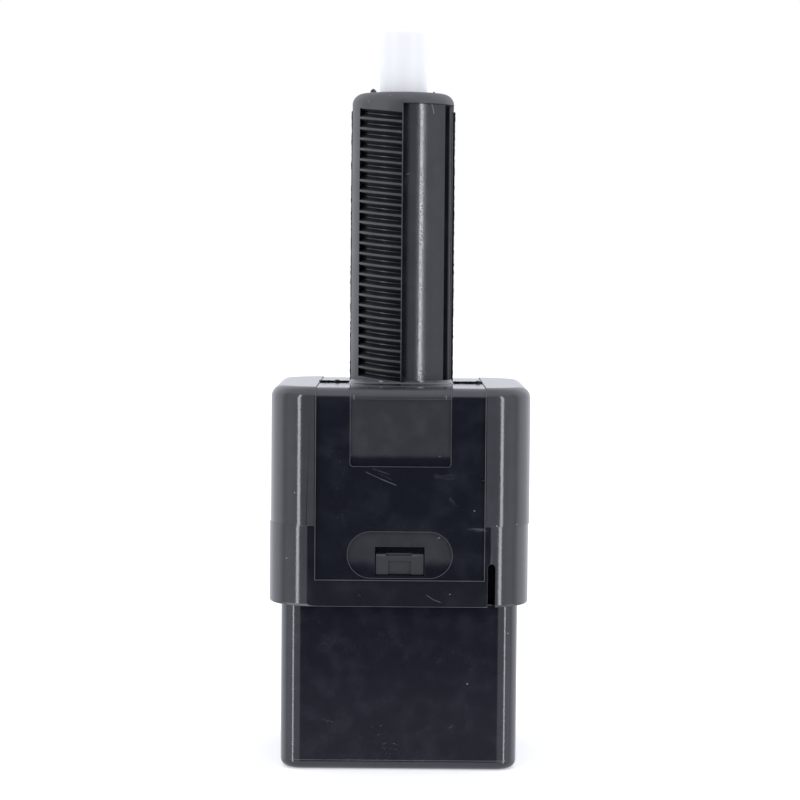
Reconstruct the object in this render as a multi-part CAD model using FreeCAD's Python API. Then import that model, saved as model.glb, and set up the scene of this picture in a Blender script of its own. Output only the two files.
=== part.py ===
"""Plunger switch that lights the brake lamps, with a second contact pair for the cruise control.

Millimetres. The origin is the middle of the shroud's rim, on the neck's axis. +Z runs along the neck
towards the plunger's tip, -Y is the front, with the slot beside its panel, and +X is to its right.
"""

import FreeCAD, Part
import math
import os

from FreeCAD import Vector

# Heights above the shroud's rim
CASE_RIM = 15.7
PARTING_LINE = 23.3
SHOULDER = 36.3
NECK_TOP = 64.3
TIP = 70.4

# Housing
HOUSING_WIDTH = 24.6
HOUSING_DEPTH = 24.0
CORNER_RADIUS = 4.6
SHOULDER_ROLL = 1.1
RIM_CHAMFER = 0.25
ROOF_THICKNESS = 2.0
BAND_SHIFT = 0.08
BAND_FLAT = 0.08

# Panel and pocket let into the housing's front and back
PANEL_WIDTH = 15.8
PANEL_STEP = 0.3
PANEL_FOOT = 18.25
TOP_STEP = 0.08
POCKET_WIDTH = 9.4
POCKET_DROP = 7.4
POCKET_CORNER = 0.3
POCKET_LEDGE = 1.13
POCKET_STEP = 0.05
POCKET_DEPTH = 0.22

# Snap window in its pill-shaped recess, and the slot beside the panel
PILL_WIDTH = 9.8
PILL_HEIGHT = 4.3
PILL_FOOT = 18.43
PILL_DEEP = 0.45
PILL_SHALLOW = 0.08
WINDOW_WIDTH = 4.66
WINDOW_HEIGHT = 2.65
WINDOW_FOOT = 18.65
SLOT_WIDTH = 0.7
SLOT_HEIGHT = 4.1
SLOT_OFFSET = 8.6

# Neck
NECK_RADIUS = 4.95
NECK_TOP_ROUND = 1.1
NECK_FOOT_CHAMFER = 0.35
RELIEF_FOOT = 0.3
RELIEF_FACE = 4.25
RELIEF_FLAT = 0.43
RELIEF_NEAR_RADIUS = 3.7
RELIEF_FAR_RADIUS = 8.0
RELIEF_START_ANGLE = 3.0
RELIEF_BEND_ANGLE = 24.0
RELIEF_END_ANGLE = 44.0
RELIEF_GUSSET = 0.6
COLLAR = 1.1

# Thread: left hand, three starts, cut over part of two opposite quarters
THREAD_PITCH = 1.0
THREAD_STARTS = 3
THREAD_DEPTH = 0.45
GROOVE_MOUTH = 0.6
GROOVE_ROOT = 0.14
GROOVE_COUNT = 26
GROOVE_FIRST = 0.85
GROOVE_FROM = 2.5
GROOVE_TO = 60.0
GROOVE_STEPS = 3

# Plunger
TIP_RADIUS = 2.28
TIP_ROUND = 0.32
SHANK_RADIUS = 2.55
SHANK_TOP = 57.5
GUIDE_LAND = 6.0
TRAVEL = 5.5
CARRIER_WIDTH = 13.2
CARRIER_DEPTH = 5.2
CARRIER_HEIGHT = 6.7
CARRIER_ROUND = 0.4
TONGUE_WIDTH = 2.0
TONGUE_DROP = 0.6
GUIDE_RIB = 1.0
STOP_GAP = 0.1

# Connector base
BASE_WIDTH = 22.4
BASE_DEPTH = 21.0
BASE_CORNER = 2.0
PLUG_CORNER = 3.1
PLUG_HEIGHT = 5.8
PLUG_CHAMFER = 0.4
SHROUD_ROLL = 0.85
SHROUD_WALL = 1.5
SOCKET_DEPTH = 12.5
SOCKET_CORNER = 0.8
HOOK_WIDTH = 4.5
HOOK_HEIGHT = 2.0
HOOK_REACH = 0.85
HOOK_CHAMFER = 0.3
HOOK_NOTCH_WIDTH = 2.15
HOOK_NOTCH_HEIGHT = 1.3
HOOK_NOTCH_DEPTH = 0.25

# Contacts: the brake pair lies on -X, the cruise pair on +X
CONTACT_OFFSET = 5.0
CONTACT_REACH = 6.4
CONTACT_TRAVEL = 4.0
CONTACT_RADIUS = 1.0
CONTACT_HEAD = 0.48
CONTACT_GAP = 0.02
BRIDGE_WIDTH = 2.4
BRIDGE_LENGTH = 15.2
BRIDGE_THICKNESS = 0.5
BRIDGE_CORNER = 0.6
WINDOW_CLEARANCE = 0.1

# Terminals. The arms' drops are from the cavity's roof, as the plunger's carrier is
BLADE_WIDTH = 2.3
BLADE_THICKNESS = 0.64
BLADE_TIP = 5.0
BLADE_POINT = 0.22
BLADE_OFFSET = 4.0
POST_OFFSET = 8.9
ARM_END = 5.3
BRAKE_ARM_DROP = 0.9
CRUISE_ARM_DROP = 9.8
BEND_RADIUS = 0.5

# Springs
RETURN_WIRE = 0.25
RETURN_RADIUS = 2.2
RETURN_TURNS = 8
RETURN_POCKET_RADIUS = 2.8
RETURN_POCKET_BASE = 3.5
RETURN_POCKET_CARRIER = 4.5
CONTACT_WIRE = 0.14
CONTACT_SPRING_RADIUS = 0.9
CONTACT_SPRING_TURNS = 4
BRAKE_SPRING_LENGTH = 3.4
CRUISE_SPRING_LENGTH = 3.0
WIRE_SIDES = 6
COIL_STEPS = 8

# Clearances
MOULD_FIT = 0.05
RUNNING_FIT = 0.05
STAMPING_FIT = 0.01
OVERSHOOT = 1.0

# Worked out from the sizes above
POCKET_FOOT = SHOULDER - POCKET_DROP
PLUG_TOP = CASE_RIM + PLUG_HEIGHT
CAVITY_ROOF = SHOULDER - ROOF_THICKNESS
CARRIER_TOP = CAVITY_ROOF - STOP_GAP
CARRIER_FOOT = CARRIER_TOP - CARRIER_HEIGHT
CAVITY_WIDTH = BASE_WIDTH + 2 * MOULD_FIT
CAVITY_DEPTH = BASE_DEPTH + 2 * MOULD_FIT
PANEL_FACE = HOUSING_DEPTH / 2 - PANEL_STEP
THREAD_LEAD = THREAD_PITCH * THREAD_STARTS
OVERTRAVEL = TRAVEL - CONTACT_TRAVEL
BRAKE_ARM = CAVITY_ROOF - BRAKE_ARM_DROP
CRUISE_ARM = CAVITY_ROOF - CRUISE_ARM_DROP
BRAKE_FACE = BRAKE_ARM - BLADE_THICKNESS / 2 - CONTACT_HEAD
BRAKE_BRIDGE_TOP = BRAKE_FACE - CONTACT_GAP - CONTACT_HEAD
CRUISE_FACE = CRUISE_ARM + BLADE_THICKNESS / 2 + CONTACT_HEAD
CRUISE_BRIDGE_FOOT = CRUISE_FACE + CONTACT_TRAVEL + CONTACT_GAP + CONTACT_HEAD
UP = Vector(0, 0, 1)


def box(x, y, z):
    """Box between three (low, high) pairs."""
    size = (x[1] - x[0], y[1] - y[0], z[1] - z[0])
    return Part.makeBox(*size, Vector(x[0], y[0], z[0]))


def rounded_block(width, depth, low, high, radius, shift=0.0):
    """Upright block with rounded vertical corners, centred on the axis but for the shift in X."""
    block = box((shift - width / 2, shift + width / 2), (-depth / 2, depth / 2), (low, high))
    upright = [edge for edge in block.Edges if abs(edge.tangentAt(edge.FirstParameter).z) > 0.9]
    return block.makeFillet(radius, upright)


def level_edges(shape, height):
    """Edges that lie wholly at one height."""
    return [
        edge
        for edge in shape.Edges
        if abs(edge.BoundBox.ZMin - height) < 1e-4 and abs(edge.BoundBox.ZMax - height) < 1e-4
    ]


def banded_round(shape, height, radius, inward):
    """Rounds the rim at one height by three flat bands that touch the round. Inward is -1 for a top rim and
    1 for a bottom rim."""
    eighth = radius * math.tan(math.pi / 8)
    sixteenth = radius * math.tan(math.pi / 16)
    first = radius - eighth
    shape = shape.makeChamfer(first, level_edges(shape, height))
    edges = level_edges(shape, height) + level_edges(shape, height + inward * first)
    return shape.makeChamfer(eighth - sixteenth, edges)


def both_sides(shape):
    """The shape and its copy turned half way round the neck's axis."""
    turned = shape.copy()
    turned.rotate(Vector(), UP, 180)
    return [shape, turned]


def one_solid(shape):
    """The clean single solid of a finished Boolean."""
    return shape.removeSplitter().Solids[0]


def let_in(body, width, foot, step):
    """Replaces the middle of the housing, from foot up, by a mould insert that lies step deeper."""
    half = width / 2
    face = HOUSING_DEPTH / 2 - step
    reach = HOUSING_DEPTH
    slab = box((-half, half), (-reach, reach), (foot, SHOULDER + OVERSHOOT))
    top = SHOULDER - TOP_STEP
    tall = box((-reach, reach), (-face, face), (foot - reach, top))
    insert = banded_round(tall, top, SHOULDER_ROLL, -1)
    return body.cut(slab).fuse(insert.common(slab))


def housing_block():
    """Solid outer form of the housing, with the panel and the pocket on the front and the back."""
    columns = rounded_block(HOUSING_WIDTH, HOUSING_DEPTH, PARTING_LINE, SHOULDER, CORNER_RADIUS)
    columns = banded_round(columns, SHOULDER, SHOULDER_ROLL, -1)
    band = rounded_block(
        HOUSING_WIDTH, HOUSING_DEPTH, CASE_RIM, PARTING_LINE, CORNER_RADIUS, -BAND_SHIFT
    )
    band = band.makeChamfer(RIM_CHAMFER, level_edges(band, CASE_RIM))
    flat = HOUSING_DEPTH / 2 - BAND_FLAT
    band = band.common(box((-HOUSING_WIDTH, HOUSING_WIDTH), (-flat, flat), (0, SHOULDER)))
    body = columns.fuse(band)
    body = let_in(body, PANEL_WIDTH, PANEL_FOOT, PANEL_STEP)
    body = let_in(body, POCKET_WIDTH, POCKET_FOOT, PANEL_STEP + POCKET_STEP)
    return body.cut(both_sides(pocket_cutter())).removeSplitter()


def pocket_cutter():
    """Shallow pocket under the shoulder, as wide as the neck's mould insert."""
    half = POCKET_WIDTH / 2
    floor = PANEL_FACE - POCKET_STEP - POCKET_DEPTH
    cutter = box((-half, half), (-HOUSING_DEPTH, -floor), (POCKET_FOOT, SHOULDER - POCKET_LEDGE))
    low = [
        edge
        for edge in cutter.Edges
        if edge.BoundBox.YLength > 1 and abs(edge.BoundBox.ZMax - POCKET_FOOT) < 1e-4
    ]
    return cutter.makeFillet(POCKET_CORNER, low)


def pill_cutter():
    """Pill-shaped recess round the snap window, deep at its top and fading towards its foot."""
    radius = PILL_HEIGHT / 2
    half = PILL_WIDTH / 2 - radius
    middle = PILL_FOOT + radius
    left, right = Vector(-half, 0, middle), Vector(half, 0, middle)
    rise = Vector(0, 0, radius)
    edges = [
        Part.LineSegment(left + rise, right + rise).toShape(),
        Part.Arc(right + rise, right + Vector(radius, 0, 0), right - rise).toShape(),
        Part.LineSegment(right - rise, left - rise).toShape(),
        Part.Arc(left - rise, left - Vector(radius, 0, 0), left + rise).toShape(),
    ]
    pill = Part.Face(Part.Wire(edges)).extrude(Vector(0, -PILL_HEIGHT, 0))
    pill.translate(Vector(0, -(PANEL_FACE - (PILL_DEEP + PILL_SHALLOW) / 2), 0))
    slope = math.degrees(math.atan2(PILL_DEEP - PILL_SHALLOW, PILL_HEIGHT))
    pill.rotate(Vector(0, -PANEL_FACE, middle), Vector(1, 0, 0), -slope)
    return pill


def window_cutter():
    """Snap window through the wall."""
    half = WINDOW_WIDTH / 2
    inner = CAVITY_DEPTH / 2 - OVERSHOOT
    return box((-half, half), (-HOUSING_DEPTH, -inner), (WINDOW_FOOT, WINDOW_FOOT + WINDOW_HEIGHT))


def slot_cutter():
    """Round-topped slot through the front wall, open at the rim."""
    radius = SLOT_WIDTH / 2
    straight = CASE_RIM + SLOT_HEIGHT - radius
    inner = CAVITY_DEPTH / 2 - OVERSHOOT
    x = (SLOT_OFFSET - radius, SLOT_OFFSET + radius)
    legs = box(x, (-HOUSING_DEPTH, -inner), (CASE_RIM - OVERSHOOT, straight))
    start = Vector(SLOT_OFFSET, -HOUSING_DEPTH, straight)
    crown = Part.makeCylinder(radius, HOUSING_DEPTH - inner, start, Vector(0, 1, 0))
    return legs.fuse(crown)


def facing(angle, length=1.0):
    """Level vector of that length, turned from the front towards +X by an angle in degrees."""
    turn = math.radians(angle)
    return Vector(math.sin(turn), -math.cos(turn), 0) * length


def relief_cutter():
    """Cuts the front right quarter of the neck down to the smooth relief, which is flat at first, then round
    and then flatter. The gusset stays in its lower corner, beside the thread."""
    outer = 2 * NECK_RADIUS
    start = Vector(0, -RELIEF_FACE, 0)
    near = start + facing(RELIEF_START_ANGLE + 90, RELIEF_FLAT)
    near_centre = near - facing(RELIEF_START_ANGLE, RELIEF_NEAR_RADIUS)
    bend = near_centre + facing(RELIEF_BEND_ANGLE, RELIEF_NEAR_RADIUS)
    far_centre = bend - facing(RELIEF_BEND_ANGLE, RELIEF_FAR_RADIUS)
    end = far_centre + facing(RELIEF_END_ANGLE, RELIEF_FAR_RADIUS)
    near_middle = near_centre + facing((RELIEF_START_ANGLE + RELIEF_BEND_ANGLE) / 2, RELIEF_NEAR_RADIUS)
    far_middle = far_centre + facing((RELIEF_BEND_ANGLE + RELIEF_END_ANGLE) / 2, RELIEF_FAR_RADIUS)
    rest = [end, Vector(end.x, 0, 0), Vector(outer, 0, 0), Vector(outer, -outer, 0)]
    rest += [Vector(0, -outer, 0), start]
    edges = [
        Part.LineSegment(start, near).toShape(),
        Part.Arc(near, near_middle, bend).toShape(),
        Part.Arc(bend, far_middle, end).toShape(),
    ]
    edges += [Part.LineSegment(first, last).toShape() for first, last in zip(rest, rest[1:])]
    low = SHOULDER + RELIEF_FOOT
    prism = Part.Face(Part.Wire(edges)).extrude(Vector(0, 0, NECK_TOP - COLLAR - low))
    prism.translate(Vector(0, 0, low))
    corner = [edge for edge in level_edges(prism, low) if edge.BoundBox.XMax < RELIEF_FLAT / 2]
    return prism.makeChamfer(RELIEF_GUSSET, corner)


def helical_loft(corners, start, turn, rise, steps, low=0.0):
    """Ruled solid through copies of one flat outline, screwed round the neck's axis in equal steps."""
    sections = []
    for number in range(steps + 1):
        share = number / steps
        outline = Part.makePolygon(corners + corners[:1])
        outline.rotate(Vector(), UP, start + turn * share)
        outline.translate(Vector(0, 0, low + rise * share))
        sections.append(outline)
    return Part.makeLoft(sections, True, True)


def groove_cutter():
    """One thread groove of the front left quarter, closed at both ends, at the height of its middle."""
    sweep = GROOVE_TO - GROOVE_FROM
    height = THREAD_LEAD * sweep / 360
    root = NECK_RADIUS - THREAD_DEPTH
    mouth = NECK_RADIUS + THREAD_DEPTH
    flank = (GROOVE_MOUTH - GROOVE_ROOT) / THREAD_DEPTH
    wide = GROOVE_ROOT + flank * (mouth - root)
    corners = [
        Vector(root, 0, -GROOVE_ROOT / 2),
        Vector(mouth, 0, -wide / 2),
        Vector(mouth, 0, wide / 2),
        Vector(root, 0, GROOVE_ROOT / 2),
    ]
    start = -(90 + GROOVE_FROM)
    return helical_loft(corners, start, -sweep, height, GROOVE_STEPS, -height / 2)


def thread_cutters():
    """All grooves of both threaded quarters."""
    groove = groove_cutter()
    cutters = []
    for number in range(GROOVE_COUNT):
        copy = groove.copy()
        copy.translate(Vector(0, 0, SHOULDER + GROOVE_FIRST + number * THREAD_PITCH))
        cutters += both_sides(copy)
    return cutters


def guide_ribs():
    """Two pairs of ribs in the cavity, which keep the carrier's tongues from turning."""
    inner = CARRIER_WIDTH / 2 + RUNNING_FIT + GUIDE_RIB
    outer = CAVITY_WIDTH / 2 + MOULD_FIT
    near = TONGUE_WIDTH / 2 + RUNNING_FIT
    ribs = []
    for side in (-1, 1):
        y = sorted((side * near, side * (near + GUIDE_RIB)))
        ribs.append(box((inner, outer), y, (PLUG_TOP + MOULD_FIT, CAVITY_ROOF + MOULD_FIT)))
    return both_sides(ribs[0]) + both_sides(ribs[1])


def case():
    """Neck and housing, one moulding."""
    body = housing_block()
    foot = SHOULDER - TOP_STEP
    neck = Part.makeCylinder(NECK_RADIUS, NECK_TOP - foot, Vector(0, 0, foot))
    neck = banded_round(neck, NECK_TOP, NECK_TOP_ROUND, -1)
    body = body.fuse(neck).removeSplitter()
    ring = [
        edge for edge in level_edges(body, foot) if abs(edge.BoundBox.XLength - 2 * NECK_RADIUS) < 0.01
    ]
    body = body.makeChamfer(NECK_FOOT_CHAMFER, ring)
    low = CASE_RIM - OVERSHOOT
    cavity_corner = PLUG_CORNER + MOULD_FIT
    cavity = rounded_block(CAVITY_WIDTH, CAVITY_DEPTH, low, CAVITY_ROOF, cavity_corner)
    shank_bore = SHANK_RADIUS + RUNNING_FIT
    tip_bore = TIP_RADIUS + RUNNING_FIT
    wide_bore = Part.makeCylinder(shank_bore, NECK_TOP - GUIDE_LAND - low, Vector(0, 0, low))
    bore = Part.makeCylinder(tip_bore, NECK_TOP + OVERSHOOT - low, Vector(0, 0, low))
    body = body.cut([cavity, wide_bore, bore, slot_cutter()])
    body = body.fuse(guide_ribs())
    body = body.cut(both_sides(pill_cutter()) + both_sides(window_cutter()))
    body = body.cut(both_sides(relief_cutter()))
    return one_solid(body.cut(thread_cutters()))


def hook():
    """Snap hook on the base's front face, with the shallow notch in its middle."""
    half = HOOK_WIDTH / 2
    foot = WINDOW_FOOT + MOULD_FIT
    face = BASE_DEPTH / 2 + HOOK_REACH
    block = box((-half, half), (-face, -BASE_DEPTH / 2 + OVERSHOOT), (foot, foot + HOOK_HEIGHT))
    crest = [edge for edge in level_edges(block, foot + HOOK_HEIGHT) if edge.BoundBox.YMax < -face + 0.01]
    block = block.makeChamfer(HOOK_CHAMFER, crest)
    notch = HOOK_NOTCH_WIDTH / 2
    recess = box(
        (-notch, notch),
        (-face - OVERSHOOT, -face + HOOK_NOTCH_DEPTH),
        (foot - OVERSHOOT, foot + HOOK_NOTCH_HEIGHT),
    )
    return block.cut(recess)


def connector_base():
    """Block that closes the case, with the connector shroud below it."""
    shroud = rounded_block(BASE_WIDTH, BASE_DEPTH, 0, CASE_RIM, BASE_CORNER)
    shroud = banded_round(shroud, 0, SHROUD_ROLL, 1)
    plug = rounded_block(BASE_WIDTH, BASE_DEPTH, CASE_RIM, PLUG_TOP, PLUG_CORNER)
    plug = plug.makeChamfer(PLUG_CHAMFER, level_edges(plug, PLUG_TOP))
    width, depth = BASE_WIDTH - 2 * SHROUD_WALL, BASE_DEPTH - 2 * SHROUD_WALL
    socket = rounded_block(width, depth, -OVERSHOOT, SOCKET_DEPTH, SOCKET_CORNER)
    pocket = Part.makeCylinder(
        RETURN_POCKET_RADIUS, RETURN_POCKET_BASE + OVERSHOOT, Vector(0, 0, PLUG_TOP - RETURN_POCKET_BASE)
    )
    slots = []
    half_width = BLADE_WIDTH / 2 + STAMPING_FIT
    half_thickness = BLADE_THICKNESS / 2 + STAMPING_FIT
    for x in (-CONTACT_OFFSET, CONTACT_OFFSET):
        for y in (-BLADE_OFFSET, BLADE_OFFSET):
            x_span = (x - half_width, x + half_width)
            y_span = (y - half_thickness, y + half_thickness)
            slots.append(box(x_span, y_span, (SOCKET_DEPTH - OVERSHOOT, PLUG_TOP + OVERSHOOT)))
    body = shroud.fuse([plug] + both_sides(hook()))
    return one_solid(body.cut([socket, pocket] + slots))


def bent_strip(points):
    """Strip of blade stock along a path of straight runs in the YZ plane, bent round at its corners."""
    edges = []
    start = points[0]
    for before, corner, after in zip(points, points[1:], points[2:]):
        inward = (before - corner).normalize() * BEND_RADIUS
        outward = (after - corner).normalize() * BEND_RADIUS
        first, last = corner + inward, corner + outward
        centre = corner + inward + outward
        middle = centre + (corner - centre).normalize() * BEND_RADIUS
        edges += [Part.LineSegment(start, first).toShape(), Part.Arc(first, middle, last).toShape()]
        start = last
    edges.append(Part.LineSegment(start, points[-1]).toShape())
    half_x, half_y = BLADE_WIDTH / 2, BLADE_THICKNESS / 2
    corners = [(-half_x, -half_y), (half_x, -half_y), (half_x, half_y), (-half_x, half_y)]
    outline = [points[0] + Vector(x, y, 0) for x, y in corners]
    section = Part.makePolygon(outline + outline[:1])
    strip = Part.Wire(edges).makePipeShell([section], True, False)
    return strip.makeChamfer(BLADE_POINT, level_edges(strip, points[0].z))


def terminal(offset, arm_height, stepped):
    """Front terminal: blade, post and contact arm. A stepped one turns outwards over the plug's top."""
    rest = PLUG_TOP + BEND_RADIUS
    points = [Vector(offset, -BLADE_OFFSET, BLADE_TIP)]
    if stepped:
        points += [Vector(offset, -BLADE_OFFSET, rest), Vector(offset, -POST_OFFSET, rest)]
        points += [Vector(offset, -POST_OFFSET, arm_height), Vector(offset, -ARM_END, arm_height)]
    else:
        points += [Vector(offset, -BLADE_OFFSET, arm_height)]
        points += [Vector(offset, -CONTACT_REACH - BLADE_WIDTH / 2, arm_height)]
    return bent_strip(points)


def contact_button(offset, seat, facing):
    """Front contact button, welded on a strip at height seat and facing up (1) or down (-1)."""
    button = Part.makeCylinder(CONTACT_RADIUS, CONTACT_HEAD)
    if facing < 0:
        button.rotate(Vector(), Vector(1, 0, 0), 180)
    button.translate(Vector(offset, -CONTACT_REACH, seat))
    return button


def contact_bridge(offset, foot):
    """Copper strip that joins two terminals, with its lower face at height foot."""
    half = BRIDGE_WIDTH / 2
    y = (-BRIDGE_LENGTH / 2, BRIDGE_LENGTH / 2)
    strip = box((offset - half, offset + half), y, (foot, foot + BRIDGE_THICKNESS))
    upright = [edge for edge in strip.Edges if edge.BoundBox.ZLength > BRIDGE_THICKNESS / 2]
    return strip.makeFillet(BRIDGE_CORNER, upright)


def plunger():
    """Tip, shank and contact carrier, one moulding."""
    tip = Part.makeCylinder(TIP_RADIUS, TIP - CARRIER_TOP, Vector(0, 0, CARRIER_TOP))
    tip = banded_round(tip, TIP, TIP_ROUND, -1)
    shank = Part.makeCylinder(SHANK_RADIUS, SHANK_TOP - CARRIER_TOP, Vector(0, 0, CARRIER_TOP))
    carrier = rounded_block(
        CARRIER_WIDTH, CARRIER_DEPTH, CARRIER_FOOT, CARRIER_TOP, CARRIER_ROUND
    )
    tongue_reach = CAVITY_WIDTH / 2 - RUNNING_FIT - MOULD_FIT
    tongues = box(
        (-tongue_reach, tongue_reach),
        (-TONGUE_WIDTH / 2, TONGUE_WIDTH / 2),
        (CARRIER_FOOT + TONGUE_DROP, CARRIER_TOP - TONGUE_DROP),
    )
    pocket = Part.makeCylinder(
        RETURN_POCKET_RADIUS, RETURN_POCKET_CARRIER + OVERSHOOT, Vector(0, 0, CARRIER_FOOT - OVERSHOOT)
    )
    body = tip.fuse([shank, carrier, tongues])
    return one_solid(body.cut([pocket, brake_window(), cruise_window()]))


def carrier_window(offset, low, high):
    """Window through the carrier for one bridge and its spring."""
    half = BRIDGE_WIDTH / 2 + WINDOW_CLEARANCE
    return box((offset - half, offset + half), (-CARRIER_DEPTH, CARRIER_DEPTH), (low, high))


def brake_window():
    """The bridge is held down by the fixed contacts and rises by the overtravel when they part."""
    low = BRAKE_BRIDGE_TOP - BRIDGE_THICKNESS - BRAKE_SPRING_LENGTH
    return carrier_window(-CONTACT_OFFSET, low, BRAKE_BRIDGE_TOP + OVERTRAVEL + RUNNING_FIT)


def cruise_window():
    """The bridge lies on the window's sill and is lifted by the overtravel once it has closed."""
    high = CRUISE_BRIDGE_FOOT + BRIDGE_THICKNESS + CRUISE_SPRING_LENGTH
    return carrier_window(CONTACT_OFFSET, CRUISE_BRIDGE_FOOT - RUNNING_FIT, high)


def coil_spring(x, low, high, radius, wire, turns):
    """Upright round-wire spring between two heights."""
    corners = []
    for number in range(WIRE_SIDES):
        angle = 2 * math.pi * (number + 0.5) / WIRE_SIDES
        corners.append(Vector(radius + wire * math.cos(angle), 0, wire * math.sin(angle)))
    rise = high - low - 2 * wire
    spring = helical_loft(corners, 0, 360 * turns, rise, COIL_STEPS * turns, low + wire)
    spring.translate(Vector(x, 0, 0))
    return spring


def return_spring():
    """Stands in the base's pocket and pushes the carrier up."""
    low = PLUG_TOP - RETURN_POCKET_BASE
    high = CARRIER_FOOT + RETURN_POCKET_CARRIER
    return coil_spring(0, low, high, RETURN_RADIUS, RETURN_WIRE, RETURN_TURNS)


def contact_spring(offset, low, length):
    """Small spring between a bridge and the carrier's window."""
    return coil_spring(
        offset, low, low + length, CONTACT_SPRING_RADIUS, CONTACT_WIRE, CONTACT_SPRING_TURNS
    )


def front_and_rear(name, shape):
    """A front piece and its mirror image at the rear."""
    return {name + "_front": shape, name + "_rear": shape.mirror(Vector(), Vector(0, 1, 0))}


def all_pieces():
    """Every piece of the switch by name."""
    brake_foot = BRAKE_BRIDGE_TOP - BRIDGE_THICKNESS
    cruise_top = CRUISE_BRIDGE_FOOT + BRIDGE_THICKNESS
    half_stock = BLADE_THICKNESS / 2
    pieces = {
        "case": case(),
        "connector_base": connector_base(),
        "plunger": plunger(),
        "return_spring": return_spring(),
        "brake_contact_bridge": contact_bridge(-CONTACT_OFFSET, brake_foot),
        "cruise_contact_bridge": contact_bridge(CONTACT_OFFSET, CRUISE_BRIDGE_FOOT),
        "brake_contact_spring": contact_spring(
            -CONTACT_OFFSET, brake_foot - BRAKE_SPRING_LENGTH, BRAKE_SPRING_LENGTH
        ),
        "cruise_contact_spring": contact_spring(CONTACT_OFFSET, cruise_top, CRUISE_SPRING_LENGTH),
    }
    pairs = {
        "brake_terminal": terminal(-CONTACT_OFFSET, BRAKE_ARM, True),
        "cruise_terminal": terminal(CONTACT_OFFSET, CRUISE_ARM, False),
        "brake_fixed_contact": contact_button(-CONTACT_OFFSET, BRAKE_ARM - half_stock, -1),
        "cruise_fixed_contact": contact_button(CONTACT_OFFSET, CRUISE_ARM + half_stock, 1),
        "brake_moving_contact": contact_button(-CONTACT_OFFSET, BRAKE_BRIDGE_TOP, 1),
        "cruise_moving_contact": contact_button(CONTACT_OFFSET, CRUISE_BRIDGE_FOOT, -1),
    }
    for name, shape in pairs.items():
        pieces.update(front_and_rear(name, shape))
    return pieces


def main():
    """Writes one STEP file for each piece."""
    os.makedirs("parts", exist_ok=True)
    for name, shape in all_pieces().items():
        shape.exportStep("parts/" + name + ".step")
        corners = shape.BoundBox
        print(
            f"{name}: solids {len(shape.Solids)} valid {shape.isValid()} volume {shape.Volume:.2f}"
            f" z {corners.ZMin:.2f} to {corners.ZMax:.2f}"
        )


main()
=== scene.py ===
"""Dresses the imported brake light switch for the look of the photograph.

The moulded case with its part-threaded neck, the connector base, the plunger, the springs and the contacts
are modelled in millimetres, made metres when they are finished, and set on the bodies of the frame. The
studio round them is a plain pale one: a light tent, two tall strip lamps, a floor and the camera.
"""

import logging
import math
from collections.abc import Callable
from dataclasses import dataclass
from enum import Enum

import bmesh
import bpy
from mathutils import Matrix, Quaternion, Vector


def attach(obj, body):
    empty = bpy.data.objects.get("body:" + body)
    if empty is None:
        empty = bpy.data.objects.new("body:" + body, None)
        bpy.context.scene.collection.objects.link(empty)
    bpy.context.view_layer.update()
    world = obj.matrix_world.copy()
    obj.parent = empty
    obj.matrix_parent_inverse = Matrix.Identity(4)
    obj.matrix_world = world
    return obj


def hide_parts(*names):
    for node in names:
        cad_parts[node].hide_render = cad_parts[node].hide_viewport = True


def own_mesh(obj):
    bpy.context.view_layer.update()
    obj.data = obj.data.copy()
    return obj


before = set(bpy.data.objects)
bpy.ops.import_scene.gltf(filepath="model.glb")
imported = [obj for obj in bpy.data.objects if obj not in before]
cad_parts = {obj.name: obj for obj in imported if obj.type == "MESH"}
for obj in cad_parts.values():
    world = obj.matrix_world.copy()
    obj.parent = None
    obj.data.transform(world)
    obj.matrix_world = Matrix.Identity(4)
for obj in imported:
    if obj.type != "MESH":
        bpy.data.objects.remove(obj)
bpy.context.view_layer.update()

log = logging.getLogger("brake_light_switch")

METRES = 0.001
FULL_TURN = 2 * math.pi

Triple = tuple[float, float, float]
Colour = tuple[float, float, float]
Piece = bpy.types.Object


class Body(Enum):
    """Bodies of the frame that a piece can ride on."""

    HOUSING = "housing"
    PLUNGER = "plunger"
    BRAKE_BRIDGE = "brake_bridge"
    CRUISE_BRIDGE = "cruise_bridge"


class Slot(Enum):
    """Material slots of the record."""

    BLACK = "black_plastic"
    WHITE = "white_plastic"
    STEEL = "spring_steel"
    BRASS = "terminal_brass"
    COPPER = "contact_copper"
    SILVER = "contact_silver"


class Joining(Enum):
    """Ways in which one solid is worked with another."""

    ADD = "UNION"
    CUT = "DIFFERENCE"
    KEEP = "INTERSECT"


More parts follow.
